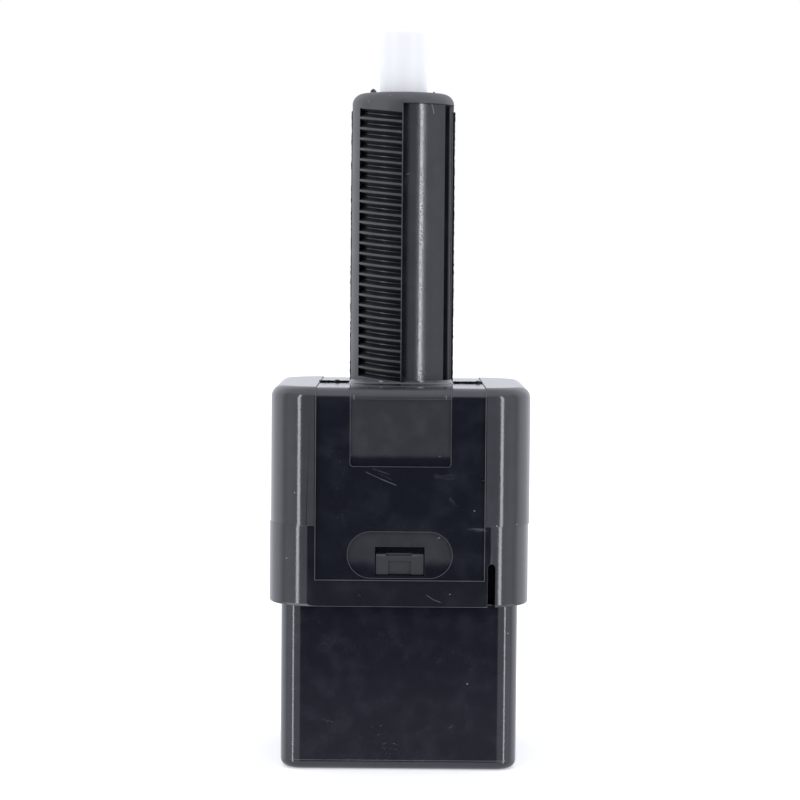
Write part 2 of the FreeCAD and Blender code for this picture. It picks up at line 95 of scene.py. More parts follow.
class Bench:
    """Modelling moves, made with Blender's own operators on one object at a time, in millimetres."""

    @staticmethod
    def clear() -> None:
        """Leaves edit mode and deselects everything."""
        if bpy.context.mode != "OBJECT":
            bpy.ops.object.mode_set(mode="OBJECT")
        bpy.ops.object.select_all(action="DESELECT")

    @staticmethod
    def hold(piece: Piece) -> None:
        """Makes one object the only selected and the active one.

        Args:
            piece: The object to work on.
        """
        Bench.clear()
        piece.select_set(True)
        bpy.context.view_layer.objects.active = piece

    @staticmethod
    def settle(piece: Piece) -> Piece:
        """Puts an object's place, turn and scale into its mesh.

        Args:
            piece: The object to settle.

        Returns:
            The same object, unturned and unscaled at the origin.
        """
        Bench.hold(piece)
        bpy.ops.object.transform_apply(location=True, rotation=True, scale=True)
        return piece

    @staticmethod
    def block(x: tuple[float, float], y: tuple[float, float], z: tuple[float, float]) -> Piece:
        """Adds a box between three pairs of limits.

        Args:
            x: Low and high limit in X.
            y: Low and high limit in Y.
            z: Low and high limit in Z.

        Returns:
            The new object.
        """
        Bench.clear()
        middle = [(pair[0] + pair[1]) / 2 for pair in (x, y, z)]
        size = [pair[1] - pair[0] for pair in (x, y, z)]
        bpy.ops.mesh.primitive_cube_add(size=1, location=middle, scale=size)
        return Bench.settle(bpy.context.object)

    @staticmethod
    def drum(radius: float, low: float, high: float, sides: int, centre: tuple[float, float] = (0, 0)) -> Piece:
        """Adds an upright round bar.

        Args:
            radius: Radius of the bar.
            low: Height of its foot.
            high: Height of its top.
            sides: Number of its side faces.
            centre: Place of its axis in X and Y.

        Returns:
            The new object.
        """
        Bench.clear()
        place = (centre[0], centre[1], (low + high) / 2)
        bpy.ops.mesh.primitive_cylinder_add(vertices=sides, radius=radius, depth=high - low, location=place)
        return Bench.settle(bpy.context.object)

    @staticmethod
    def pick_edges(piece: Piece, test: Callable[[bmesh.types.BMEdge], bool]) -> int:
        """Goes into edit mode with only the edges selected that pass a test.

        Args:
            piece: The object to edit.
            test: Says for an edge whether it is wanted.

        Returns:
            The number of edges selected.
        """
        Bench.hold(piece)
        bpy.ops.object.mode_set(mode="EDIT")
        bpy.ops.mesh.select_mode(type="EDGE")
        bpy.ops.mesh.select_all(action="DESELECT")
        mesh = bmesh.from_edit_mesh(piece.data)
        wanted = [edge for edge in mesh.edges if test(edge)]
        for edge in wanted:
            edge.select_set(True)
        mesh.select_flush_mode()
        bmesh.update_edit_mesh(piece.data)
        return len(wanted)

    @staticmethod
    def pick_faces(piece: Piece, test: Callable[[bmesh.types.BMFace], bool]) -> int:
        """Goes into edit mode with only the faces selected that pass a test.

        Args:
            piece: The object to edit.
            test: Says for a face whether it is wanted.

        Returns:
            The number of faces selected.
        """
        Bench.hold(piece)
        bpy.ops.object.mode_set(mode="EDIT")
        bpy.ops.mesh.select_mode(type="FACE")
        bpy.ops.mesh.select_all(action="DESELECT")
        mesh = bmesh.from_edit_mesh(piece.data)
        wanted = [face for face in mesh.faces if test(face)]
        for face in wanted:
            face.select_set(True)
        mesh.select_flush_mode()
        bmesh.update_edit_mesh(piece.data)
        return len(wanted)

    @staticmethod
    def round_edges(
        piece: Piece, test: Callable[[bmesh.types.BMEdge], bool], width: float, steps: int, finish: int = -1
    ) -> Piece:
        """Rounds the edges that pass a test.

        Args:
            piece: The object to work on.
            test: Says for an edge whether it is wanted.
            width: Radius of the round on a square edge.
            steps: Number of faces across the round.
            finish: Number of the material on the round, or -1 for that of its neighbours.

        Returns:
            The same object.
        """
        if Bench.pick_edges(piece, test):
            bpy.ops.mesh.bevel(
                offset=width, segments=steps, profile=0.5, affect="EDGES", clamp_overlap=False, material=finish
            )
        Bench.clear()
        return piece

    @staticmethod
    def soften(
        piece: Piece, test: Callable[[Vector], bool], width: float, steps: int = 2, finish: int = -1
    ) -> Piece:
        """Rounds the outward edges whose two ends pass a test.

        Args:
            piece: The object to work on.
            test: Says for an end of an edge whether it is wanted.
            width: Radius of the round on a square edge.
            steps: Number of faces across the round.
            finish: Number of the material on the round, or -1 for that of its neighbours.

        Returns:
            The same object.
        """
        return Bench.round_edges(
            piece,
            lambda edge: edge.is_manifold
            and edge.calc_face_angle_signed(0) > math.radians(40)
            and test(edge.verts[0].co)
            and test(edge.verts[1].co),
            width,
            steps,
            finish,
        )

    @staticmethod
    def cut_off(piece: Piece, place: Triple, facing: Triple) -> Piece:
        """Cuts an object by a plane, closes the cut and drops what lies on the side that the plane faces.

        Args:
            piece: The object to cut.
            place: A point on the plane.
            facing: Normal of the plane.

        Returns:
            The same object.
        """
        Bench.hold(piece)
        bpy.ops.object.mode_set(mode="EDIT")
        bpy.ops.mesh.select_all(action="SELECT")
        bpy.ops.mesh.bisect(plane_co=place, plane_no=facing, use_fill=True, clear_outer=True)
        Bench.clear()
        return piece

    @staticmethod
    def apply(piece: Piece, kind: str, **settings: object) -> Piece:
        """Adds a modifier to an object and applies it at once.

        Args:
            piece: The object to work on.
            kind: Blender's name for the kind of modifier.
            **settings: Values for the modifier's properties.

        Returns:
            The same object.
        """
        Bench.hold(piece)
        modifier = piece.modifiers.new(kind.title(), kind)
        for name, value in settings.items():
            setattr(modifier, name, value)
        bpy.ops.object.modifier_apply(modifier=modifier.name)
        return piece

    @staticmethod
    def work(piece: Piece, joining: Joining, *tools: Piece) -> Piece:
        """Adds solids to an object, cuts them out of it or keeps what they share, and uses them up.

        Args:
            piece: The object to work on.
            joining: What is done with each of the tools.
            *tools: The other solids.

        Returns:
            The same object.
        """
        for tool in tools:
            Bench.apply(piece, "BOOLEAN", operation=joining.value, object=tool, solver="EXACT")
            mesh = tool.data
            bpy.data.objects.remove(tool)
            bpy.data.meshes.remove(mesh)
        return piece

    @staticmethod
    def turned_copy(piece: Piece, angle: float = math.pi) -> Piece:
        """Copies an object with its own mesh and turns the copy round the Z axis.

        Args:
            piece: The object to copy.
            angle: Turn of the copy in radians.

        Returns:
            The copy.
        """
        twin = piece.copy()
        twin.data = piece.data.copy()
        bpy.context.collection.objects.link(twin)
        twin.rotation_euler.z = angle
        return Bench.settle(twin)

    @staticmethod
    def upright(edge: bmesh.types.BMEdge) -> bool:
        """True for an edge that runs along Z."""
        along = edge.verts[1].co - edge.verts[0].co
        return abs(along.z) > 0.99 * along.length

    @staticmethod
    def level_at(height: float) -> Callable[[bmesh.types.BMEdge], bool]:
        """Makes a test for the edges that lie at one height.

        Args:
            height: The height in Z.

        Returns:
            The test.
        """
        return lambda edge: all(abs(vertex.co.z - height) < 1e-3 for vertex in edge.verts)

    @staticmethod
    def rounded_block(
        x: tuple[float, float], y: tuple[float, float], z: tuple[float, float], radius: float, steps: int
    ) -> Piece:
        """Adds a box with rounded upright corners.

        Args:
            x: Low and high limit in X.
            y: Low and high limit in Y.
            z: Low and high limit in Z.
            radius: Radius of the corners.
            steps: Number of faces round each corner.

        Returns:
            The new object.
        """
        return Bench.round_edges(Bench.block(x, y, z), Bench.upright, radius, steps)

    @staticmethod
    def finish(piece: Piece, name: str, body: Body, slot: Slot, nodes: list[str], smooth: float = 30) -> Piece:
        """Makes a modelled piece metres, smooths it and sets it in the frame.

        Args:
            piece: The modelled object.
            name: Name of the finished piece.
            body: Body that it rides on.
            slot: Material slot of the record that it takes its finish from; not used.
            nodes: Nodes of the frame that it stands for.
            smooth: Largest angle in degrees between faces that shade as one.

        Returns:
            The finished piece.
        """
        Bench.hold(piece)
        bpy.ops.object.mode_set(mode="EDIT")
        bpy.ops.mesh.select_all(action="SELECT")
        bpy.ops.mesh.remove_doubles(threshold=1e-4)
        bpy.ops.mesh.normals_make_consistent(inside=False)
        Bench.hold(piece)
        piece.scale = (METRES, METRES, METRES)
        Bench.settle(piece)
        bpy.ops.object.shade_smooth_by_angle(angle=math.radians(smooth))
        Bench.apply(piece, "WEIGHTED_NORMAL", keep_sharp=True, weight=100)
        piece.name = piece.data.name = name
        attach(piece, body.value)
        if nodes:
            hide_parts(*nodes)
        log.info("%s: %d faces on %s", name, len(piece.data.polygons), body.value)
        return piece


class Recipe:
    """Node tree of one material, with short ways to add to it."""

    def __init__(self, name: str) -> None:
        """Starts a material with its shader and the object's own coordinates.

        Args:
            name: Name of the material.
        """
        self.material = bpy.data.materials.new(name)
        self.material.use_nodes = True
        self.tree = self.material.node_tree
        self.shader = self.tree.nodes["Principled BSDF"]
        self.place = self.add("ShaderNodeTexCoord").outputs["Object"]
        split = self.add("ShaderNodeSeparateXYZ")
        self.feed(split.inputs[0], self.place)
        self.parts = split.outputs

    def add(self, kind: str, **settings: object) -> bpy.types.Node:
        """Adds a node.

        Args:
            kind: Blender's name for the kind of node.
            **settings: Values for the node's properties.

        Returns:
            The new node.
        """
        node = self.tree.nodes.new(kind)
        for name, value in settings.items():
            setattr(node, name, value)
        return node

    def feed(self, socket: bpy.types.NodeSocket, value: object) -> None:
        """Links an output to a socket, or sets the socket to a plain value.

        Args:
            socket: The input socket.
            value: An output socket, a number or a colour.
        """
        if isinstance(value, bpy.types.NodeSocket):
            self.tree.links.new(value, socket)
        elif isinstance(value, tuple) and len(value) == 3 and socket.type == "RGBA":
            socket.default_value = (*value, 1)
        else:
            socket.default_value = value

    def calc(self, operation: str, *values: object) -> bpy.types.NodeSocket:
        """Adds a Math node.

        Args:
            operation: Blender's name for the sum.
            *values: Its inputs, in order.

        Returns:
            The result.
        """
        node = self.add("ShaderNodeMath", operation=operation)
        for socket, value in zip(node.inputs, values):
            self.feed(socket, value)
        return node.outputs[0]

    def ramp(
        self, value: object, low: float, high: float, out_low: float = 0, out_high: float = 1
    ) -> bpy.types.NodeSocket:
        """Maps a range smoothly on another.

        Args:
            value: The input.
            low: Input that gives out_low.
            high: Input that gives out_high.
            out_low: First end of the result.
            out_high: Other end of the result.

        Returns:
            The result.
        """
        node = self.add("ShaderNodeMapRange", interpolation_type="SMOOTHSTEP")
        for socket, number in zip(node.inputs, (value, low, high, out_low, out_high)):
            self.feed(socket, number)
        return node.outputs[0]

    def noise(self, size: float, detail: float = 2, stretch: Triple = (1, 1, 1)) -> bpy.types.NodeSocket:
        """Adds noise on the object's coordinates.

        Args:
            size: Size of its grains in metres.
            detail: Number of finer layers.
            stretch: How much finer it is along each axis.

        Returns:
            The noise, about 0.5 in the middle.
        """
        mapping = self.add("ShaderNodeMapping")
        self.feed(mapping.inputs["Vector"], self.place)
        mapping.inputs["Scale"].default_value = stretch
        node = self.add("ShaderNodeTexNoise")
        self.feed(node.inputs["Vector"], mapping.outputs[0])
        node.inputs["Scale"].default_value = 1 / size
        node.inputs["Detail"].default_value = detail
        return node.outputs["Fac"]

    def stroke(self, start: tuple[float, float], end: tuple[float, float], width: float) -> bpy.types.NodeSocket:
        """Masks a stroke seen from the front.

        Args:
            start: Its first end in X and Z, in millimetres.
            end: Its other end.
            width: Half its breadth in millimetres.

        Returns:
            1 on the stroke's line, 0 beyond its breadth.
        """
        first = Vector((start[0], 0, start[1])) * METRES
        way = Vector((end[0], 0, end[1])) * METRES - first
        flat = self.add("ShaderNodeVectorMath", operation="MULTIPLY")
        self.feed(flat.inputs[0], self.place)
        flat.inputs[1].default_value = (1, 0, 1)
        offset = self.add("ShaderNodeVectorMath", operation="SUBTRACT")
        self.feed(offset.inputs[0], flat.outputs[0])
        offset.inputs[1].default_value = first
        along = self.add("ShaderNodeVectorMath", operation="DOT_PRODUCT")
        self.feed(along.inputs[0], offset.outputs[0])
        along.inputs[1].default_value = way / max(way.length_squared, 1e-12)
        share = self.calc("MINIMUM", self.calc("MAXIMUM", along.outputs["Value"], 0.0), 1.0)
        nearest = self.add("ShaderNodeVectorMath", operation="SCALE")
        nearest.inputs[0].default_value = way
        self.feed(nearest.inputs["Scale"], share)
        gap = self.add("ShaderNodeVectorMath", operation="DISTANCE")
        self.feed(gap.inputs[0], offset.outputs[0])
        self.feed(gap.inputs[1], nearest.outputs[0])
        return self.ramp(gap.outputs["Value"], width * METRES, 0.3 * width * METRES)

    def blend(self, share: object, first: object, second: object) -> bpy.types.NodeSocket:
        """Mixes two colours.

        Args:
            share: Share of the second.
            first: The first colour.
            second: The second colour.

        Returns:
            The mixed colour.
        """
        node = self.add("ShaderNodeMix", data_type="RGBA")
        self.feed(node.inputs[0], share)
        self.feed(node.inputs[6], first)
        self.feed(node.inputs[7], second)
        return node.outputs[2]

    def bump(self, height: object, distance: float, strength: float = 1) -> None:
        """Raises the surface by a height.

        Args:
            height: The height, from 0 to 1.
            distance: What a height of 1 is in metres.
            strength: Share of the effect.
        """
        node = self.add("ShaderNodeBump")
        node.inputs["Strength"].default_value = strength
        node.inputs["Distance"].default_value = distance
        self.feed(node.inputs["Height"], height)
        self.feed(self.shader.inputs["Normal"], node.outputs[0])


class Trace(Enum):
    """Ways in which a mark is broken up: grain size, stretch and the noise it starts and is whole at."""

    WHOLE = (0.0004, (1, 1, 1), 0.2, 0.4)
    BROKEN = (0.0003, (1, 1, 1), 0.42, 0.6)
    SMEARED = (0.0005, (0.12, 1, 1), 0.5, 0.68)
    DUSTY = (0.00022, (1, 1, 1), 0.55, 0.7)
    FROSTED = (0.00013, (1, 1, 1), 0.3, 0.62)


@dataclass(frozen=True)
class Mark:
    """Scratch, scuff, dust, lighter band or painted highlight on the front: a stroke between two places in X and Z."""

    start: tuple[float, float]
    end: tuple[float, float]
    width: float
    strength: float
    trace: Trace = Trace.WHOLE


@dataclass(frozen=True)
class BlackMoulding:
    """Near-black, faintly blue moulded plastic with a polished or a satin skin."""

    name: str
    roughness: float = 0.09
    roughness_spread: float = 0.02
    grain: float = 0.00013
    relief: float = 0.0000028
    ior: float = 1.7
    base: Colour = (0.0108, 0.0118, 0.0176)
    dusty: Colour = (0.0165, 0.018, 0.0245)
    satin: float = 0.38
    satin_floors: bool = False
    floor_reach: float = 0.00492
    floor_depths: tuple[float, float] = (0.0107, 0.011665)
    pocket_fade: tuple[float, float] = (0.0294, 0.0301)
    recess_fade: tuple[float, float] = (0.0189, 0.0204)
    recess_top: float = 0.024
    marks: tuple[Mark, ...] = ()
    mark_colour: Colour = (0.4, 0.41, 0.43)
    gleams: tuple[Mark, ...] = ()

    def material(self) -> bpy.types.Material:
        """Builds the material.

        Returns:
            The material.
        """
        recipe = Recipe(self.name)
        cloud = recipe.noise(0.0018, 4)
        fine = recipe.noise(self.grain, 3)
        colour = recipe.blend(recipe.ramp(cloud, 0.4, 0.72), self.base, self.dusty)
        low, high = self.roughness - self.roughness_spread, self.roughness + self.roughness_spread
        skin = recipe.ramp(cloud, 0.3, 0.75, low, high)
        if self.satin_floors:
            skin = self.with_floors(recipe, skin)
        if self.marks:
            share = self.marked(recipe, self.marks)
            colour = recipe.blend(share, colour, self.mark_colour)
            skin = recipe.calc("ADD", skin, recipe.calc("MULTIPLY", share, 0.5))
        recipe.feed(recipe.shader.inputs["Base Color"], colour)
        recipe.feed(recipe.shader.inputs["Roughness"], skin)
        recipe.shader.inputs["IOR"].default_value = self.ior
        if self.gleams:
            recipe.feed(recipe.shader.inputs["Coat Weight"], self.marked(recipe, self.gleams))
            recipe.shader.inputs["Coat IOR"].default_value = 1.8
            recipe.shader.inputs["Coat Roughness"].default_value = 0.1
        recipe.bump(fine, self.relief)
        return recipe.material

    def with_floors(self, recipe: Recipe, skin: bpy.types.NodeSocket) -> bpy.types.NodeSocket:
        """Makes the floors of the pockets and recesses satin, with polished lower ends.

        Args:
            recipe: The material's recipe.
            skin: Roughness elsewhere.

        Returns:
            Roughness with the floors in it.
        """
        across = recipe.calc("ABSOLUTE", recipe.parts["X"])
        deep = recipe.calc("ABSOLUTE", recipe.parts["Y"])
        height = recipe.parts["Z"]
        pocket = recipe.ramp(height, *self.pocket_fade)
        pill = recipe.calc(
            "MULTIPLY", recipe.ramp(height, *self.recess_fade), recipe.calc("LESS_THAN", height, self.recess_top)
        )
        inside = recipe.calc(
            "MULTIPLY", recipe.calc("LESS_THAN", across, self.floor_reach),
            recipe.calc("MULTIPLY", recipe.calc("LESS_THAN", deep, self.floor_depths[1]),
                        recipe.calc("GREATER_THAN", deep, self.floor_depths[0])),
        )
        share = recipe.calc("MULTIPLY", inside, recipe.calc("MAXIMUM", pocket, pill))
        return recipe.calc("ADD", skin, recipe.calc("MULTIPLY", share, self.satin - self.roughness))

    def marked(self, recipe: Recipe, marks: tuple[Mark, ...]) -> bpy.types.NodeSocket:
        """Adds up marks on the front.

        Args:
            recipe: The material's recipe.
            marks: The marks.

        Returns:
            Share of each place that is marked.
        """
        traces = {
            trace: recipe.ramp(recipe.noise(trace.value[0], 3, trace.value[1]), *trace.value[2:])
            for trace in {mark.trace: None for mark in marks}
        }
        total: object = 0.0
        for mark in marks:
            share = recipe.calc("MULTIPLY", recipe.stroke(mark.start, mark.end, mark.width), traces[mark.trace])
            total = recipe.calc("MAXIMUM", total, recipe.calc("MULTIPLY", share, mark.strength))
        return recipe.calc("MULTIPLY", total, recipe.calc("LESS_THAN", recipe.parts["Y"], 0.0))


@dataclass(frozen=True)
class WhiteMoulding:
    """Natural white plastic, a little see-through at its edges and bluish lower down the tip."""

    name: str = "natural_white"
    tip: Colour = (0.945, 0.94, 0.915)
    stem: Colour = (0.955, 0.96, 0.945)
    fade: tuple[float, float] = (0.0700, 0.0650)

    def material(self) -> bpy.types.Material:
        """Builds the material.

        Returns:
            The material.
        """
        recipe = Recipe(self.name)
        share = recipe.ramp(recipe.parts["Z"], *self.fade)
        recipe.feed(recipe.shader.inputs["Base Color"], recipe.blend(share, self.tip, self.stem))
        cloud = recipe.noise(0.0015, 3)
        recipe.feed(recipe.shader.inputs["Roughness"], recipe.ramp(cloud, 0.3, 0.7, 0.3, 0.42))
        recipe.shader.inputs["Subsurface Weight"].default_value = 0.15
        recipe.shader.inputs["Subsurface Radius"].default_value = (1.0, 0.9, 0.9)
        recipe.shader.inputs["Subsurface Scale"].default_value = 0.0008
        recipe.bump(recipe.noise(0.0004, 3), 0.000004)
        return recipe.material


@dataclass(frozen=True)
class Metal:
    """Drawn or stamped metal with fine lines along one axis."""

    name: str
    base: Colour
    tarnished: Colour
    roughness: float = 0.28
    line: float = 0.00012
    stretch: Triple = (1, 1, 0.08)

    def material(self) -> bpy.types.Material:
        """Builds the material.

        Returns:
            The material.
        """
        recipe = Recipe(self.name)
        cloud = recipe.noise(0.002, 3)
        lines = recipe.noise(self.line, 2, self.stretch)
        share = recipe.ramp(cloud, 0.45, 0.75)
        recipe.feed(recipe.shader.inputs["Base Color"], recipe.blend(share, self.base, self.tarnished))
        spread = recipe.ramp(lines, 0.3, 0.7, self.roughness - 0.06, self.roughness + 0.08)
        recipe.feed(recipe.shader.inputs["Roughness"], spread)
        recipe.shader.inputs["Metallic"].default_value = 1
        recipe.bump(lines, 0.0000015)
        return recipe.material


@dataclass
class Case:
    """Neck and housing, one black moulding."""

    width: float = 24.6
    depth: float = 24.0
    rim: float = 15.7
    parting: float = 23.3
    shoulder: float = 36.3
    corner: float = 4.6
    roll: float = 1.1
    rim_round: float = 0.25
    roof: float = 2.0
    band_shift: float = 0.08
    band_flat: float = 0.08
    panel_width: float = 15.8
    panel_step: float = 0.3
    panel_foot: float = 18.25
    top_step: float = 0.08
    pocket_width: float = 9.4
    pocket_foot: float = 28.9
    pocket_corner: float = 0.3
    pocket_ledge: float = 1.13
    pocket_step: float = 0.05
    pocket_depth: float = 0.22
    pill: tuple[float, float] = (9.8, 4.3)
    pill_foot: float = 18.43
    pill_deep: float = 0.45
    pill_shallow: float = 0.08
    window: tuple[float, float] = (4.66, 2.65)
    window_foot: float = 18.65
    slot: tuple[float, float] = (0.7, 4.1)
    slot_offset: float = 8.6
    cavity: tuple[float, float] = (22.5, 21.1)
    cavity_corner: float = 3.15
    neck: float = 4.95
    neck_top: float = 64.3
    neck_round: float = 1.1
    neck_foot: float = 0.35
    relief_foot: float = 0.3
    relief_near: Triple = (3.7, 0.2358, -0.5326)
    relief_far: Triple = (8.0, -1.5132, 3.3957)
    relief_bend: tuple[float, float] = (1.7407, -3.9127)
    relief_end: float = 4.0441
    relief_gusset: float = 0.6
    relief_flank: float = 0.5
    collar: float = 1.1
    pitch: float = 1.0
    grooves: int = 26
    groove_first: float = 0.85
    groove_path: Triple = (4.45, 0.0, 0.0)
    groove_turn: tuple[float, float] = (0.5, 66.0)
    groove_rise: float = 0.546
    groove_ends: tuple[float, float] = (-4.17, -0.1)
    groove_profile: tuple[tuple[float, float], ...] = (
        (0.0, 0.04), (0.42, 0.355), (0.47, 0.39), (0.498, 0.43), (0.8, 0.47)
    )
    bore: float = 2.33
    wide_bore: float = 2.6
    guide_land: float = 6.0

    def housing(self) -> Piece:
        """Models the outer form of the housing with its panels and pockets.

        Returns:
            The solid housing.
        """
        half, deep = self.width / 2, self.depth / 2
        body = Bench.rounded_block((-half, half), (-deep, deep), (self.parting, self.shoulder), self.corner, 20)
        Bench.round_edges(body, Bench.level_at(self.shoulder), self.roll, 8)
        x = (-half - self.band_shift, half - self.band_shift)
        band = Bench.rounded_block(x, (-deep, deep), (self.rim, self.parting), self.corner, 20)
        Bench.round_edges(band, Bench.level_at(self.rim), self.rim_round, 4)
        flat = deep - self.band_flat
        Bench.work(band, Joining.KEEP, Bench.block((-2 * half, 2 * half), (-flat, flat), (0, 2 * self.shoulder)))
        Bench.work(body, Joining.ADD, band)
        self.let_in(body, self.panel_width / 2, self.panel_foot, self.panel_step)
        step = self.panel_step + self.pocket_step
        width, corner = self.pocket_width / 2, self.pocket_corner
        return self.let_in(body, width, self.pocket_foot, step, corner, self.pocket_depth)

    def let_in(
        self, body: Piece, half: float, foot: float, step: float, corner: float = 0, floor: float = 0
    ) -> Piece:
        """Cuts the housing's middle back to a mould insert that lies deeper, with a pocket in it.

        Args:
            body: The housing.
            half: Half the insert's width.
            foot: Height of its foot.
            step: How much deeper it lies.
            corner: Radius of its lower corners, or 0 for square ones.
            floor: Depth of the pocket below the ledge, or 0 for none.

        Returns:
            The housing.
        """
        reach, face, top = self.depth, self.depth / 2 - step, self.shoulder - self.top_step
        keep = Bench.block((-half - 1, half + 1), (-face, face), (foot - 1, top))
        Bench.round_edges(
            keep,
            lambda edge: Bench.level_at(top)(edge) and abs(edge.verts[0].co.x - edge.verts[1].co.x) > half,
            self.roll,
            8,
        )
        if floor:
            ledge = (foot - 2, self.shoulder - self.pocket_ledge)
            for y in ((-reach, floor - face), (face - floor, reach)):
                Bench.work(keep, Joining.CUT, Bench.block((-half - 2, half + 2), y, ledge))
        slab = Bench.block((-half, half), (-reach, reach), (foot, self.shoulder + 1))
        if corner:
            Bench.round_edges(
                slab,
                lambda edge: Bench.level_at(foot)(edge) and abs(edge.verts[0].co.y - edge.verts[1].co.y) > 1,
                corner,
                6,
            )
        Bench.work(slab, Joining.CUT, keep)
        return Bench.work(body, Joining.CUT, slab)

    def pill_tool(self) -> Piece:
        """Models the pill-shaped recess round the snap window as a cutter.

        Returns:
            The front cutter.
        """
        width, height = self.pill
        face = self.depth / 2 - self.panel_step
        floor = face - (self.pill_deep + self.pill_shallow) / 2
        middle = self.pill_foot + height / 2
        tool = Bench.block((-width / 2, width / 2), (-floor - height, -floor), (-height / 2, height / 2))
        Bench.round_edges(
            tool, lambda edge: abs(edge.verts[0].co.y - edge.verts[1].co.y) > height / 2, height / 2 - 0.002, 16
        )
        slope = math.atan2(self.pill_deep - self.pill_shallow, height)
        tool.location = (0, -face, middle)
        for vertex in tool.data.vertices:
            vertex.co.y += face
        tool.rotation_euler.x = -slope
        return Bench.settle(tool)

    def slot_tool(self) -> Piece:
        """Models the round-topped slot beside the panel as a cutter.

        Returns:
            The cutter.
        """
        radius = self.slot[0] / 2
        x = (self.slot_offset - radius, self.slot_offset + radius)
        top = self.rim + self.slot[1]
        tool = Bench.block(x, (-self.depth, -self.cavity[1] / 2 + 1), (self.rim - 1, top))
        return Bench.round_edges(
            tool,
            lambda edge: Bench.level_at(top)(edge) and abs(edge.verts[0].co.y - edge.verts[1].co.y) > 1,
            radius - 0.002,
            8,
        )

    def stem(self) -> Piece:
        """Models the neck with its rounded top and flared foot.

        Returns:
            The solid neck.
        """
        foot = self.shoulder - self.top_step
        neck = Bench.drum(self.neck, foot + self.neck_foot, self.neck_top, 160)
        Bench.round_edges(neck, Bench.level_at(self.neck_top), self.neck_round, 8)
        steps = 5
        last = foot + self.neck_foot
        radius = self.neck
        Bench.pick_faces(neck, lambda face: face.normal.z < -0.9)
        for number in range(1, steps + 1):
            angle = number / steps * math.pi / 2
            height = foot + self.neck_foot * (1 - math.sin(angle))
            wider = self.neck + self.neck_foot * (1 - math.cos(angle))
            bpy.ops.mesh.extrude_region_move(TRANSFORM_OT_translate={"value": (0, 0, height - last)})
            grow = wider / radius
            bpy.ops.transform.resize(value=(grow, grow, 1), center_override=(0, 0, height))
            last, radius = height, wider
        bpy.ops.mesh.extrude_region_move(TRANSFORM_OT_translate={"value": (0, 0, -1)})
        Bench.clear()
        return neck

    def relief_tool(self) -> Piece:
        """Models what is cut off one quarter of the neck to leave it smooth, as a cutter.

        Returns:
            The front right cutter.
        """
        reach = 2 * self.neck
        low, high = self.shoulder + self.relief_foot, self.neck_top - self.collar
        tool = Bench.block((0, reach), (-reach, 0), (low, high))
        Bench.round_edges(
            tool, lambda edge: all(abs(v.co.x) + abs(v.co.z - low) < 1e-3 for v in edge.verts), self.relief_gusset, 1
        )
        radius, x, y = self.relief_far
        far = Bench.drum(radius, low - 1, high + 1, 320, (x, y))
        along = Vector((self.relief_bend[0] - x, self.relief_bend[1] - y, 0)).normalized()
        Bench.cut_off(far, (*self.relief_bend, 0), (along.y, -along.x, 0))
        Bench.cut_off(far, (self.relief_end, 0, 0), (1, 0, 0))
        Bench.cut_off(far, (0, 1, 0), (0, 1, 0))
        radius, x, y = self.relief_near
        Bench.work(tool, Joining.CUT, Bench.drum(radius, low - 1, high + 1, 144, (x, y)), far)
        flank = self.relief_flank
        side = self.neck - flank
        corner = Bench.block((side, self.neck + 1), (-1, flank), (low, high))
        Bench.work(corner, Joining.CUT, Bench.drum(flank, low - 1, high + 1, 64, (side, flank)))
        return Bench.work(tool, Joining.ADD, corner)

    def groove_tools(self) -> Piece:
        """Models the thread grooves of the front left quarter as one cutter.

        The grooves are wedges with a rounded mouth, and their ends lie along the mould's way out.

        Returns:
            The cutter with all grooves of a quarter.
        """
        path, x, y = self.groove_path
        start, end = (math.radians(angle) for angle in self.groove_turn)
        profile = [(path + out, breadth) for out, breadth in self.groove_profile]
        first, second = profile[:2]
        Bench.clear()
        middle = ((first[0] + second[0]) / 2, 0, 0)
        bpy.ops.mesh.primitive_plane_add(size=1, location=middle, rotation=(math.pi / 2, 0, 0))
        tool = bpy.context.object
        tool.scale = (second[0] - first[0], 2 * first[1], 1)
        Bench.settle(tool)
        last = first
        for radius, breadth in profile[1:]:
            place = max(last[0], second[0])
            Bench.pick_edges(tool, lambda edge: all(abs(vertex.co.x - place) < 1e-4 for vertex in edge.verts))
            if radius > place:
                bpy.ops.mesh.extrude_region_move(TRANSFORM_OT_translate={"value": (radius - place, 0, 0)})
            bpy.ops.transform.resize(value=(1, 1, breadth / last[1]), center_override=(radius, 0, 0))
            Bench.clear()
            last = (radius, breadth)
        Bench.pick_faces(tool, lambda face: True)
        bpy.ops.mesh.dissolve_faces()
        bpy.ops.mesh.delete(type="ONLY_FACE")
        Bench.clear()
        tool.rotation_euler.z = -math.pi / 2 - start
        Bench.settle(tool)
        Bench.apply(
            tool, "SCREW", angle=start - end, screw_offset=self.groove_rise, steps=14, render_steps=14,
            use_merge_vertices=False,
        )
        Bench.pick_edges(tool, lambda edge: edge.is_boundary)
        bpy.ops.mesh.fill_holes(sides=0)
        bpy.ops.mesh.select_all(action="SELECT")
        bpy.ops.mesh.normals_make_consistent(inside=False)
        Bench.clear()
        tool.location = (x, y, self.shoulder + self.groove_first - self.groove_rise / 2)
        Bench.settle(tool)
        left, right = self.groove_ends
        Bench.cut_off(tool, (left, 0, 0), (-1, 0, 0))
        Bench.cut_off(tool, (right, 0, 0), (1, 0, 0))
        return Bench.apply(
            tool, "ARRAY", count=self.grooves, use_relative_offset=False, use_constant_offset=True,
            constant_offset_displace=(0, 0, self.pitch),
        )

    def soften(self, body: Piece) -> None:
        """Rounds the edges of the neck, the panel, the pockets, the recess and the slot.

        Args:
            body: The case with all its cuts.
        """
        def near(value: float, goal: float, slack: float = 0.012) -> bool:
            """True for a number that is close to another."""
            return abs(abs(value) - goal) < slack

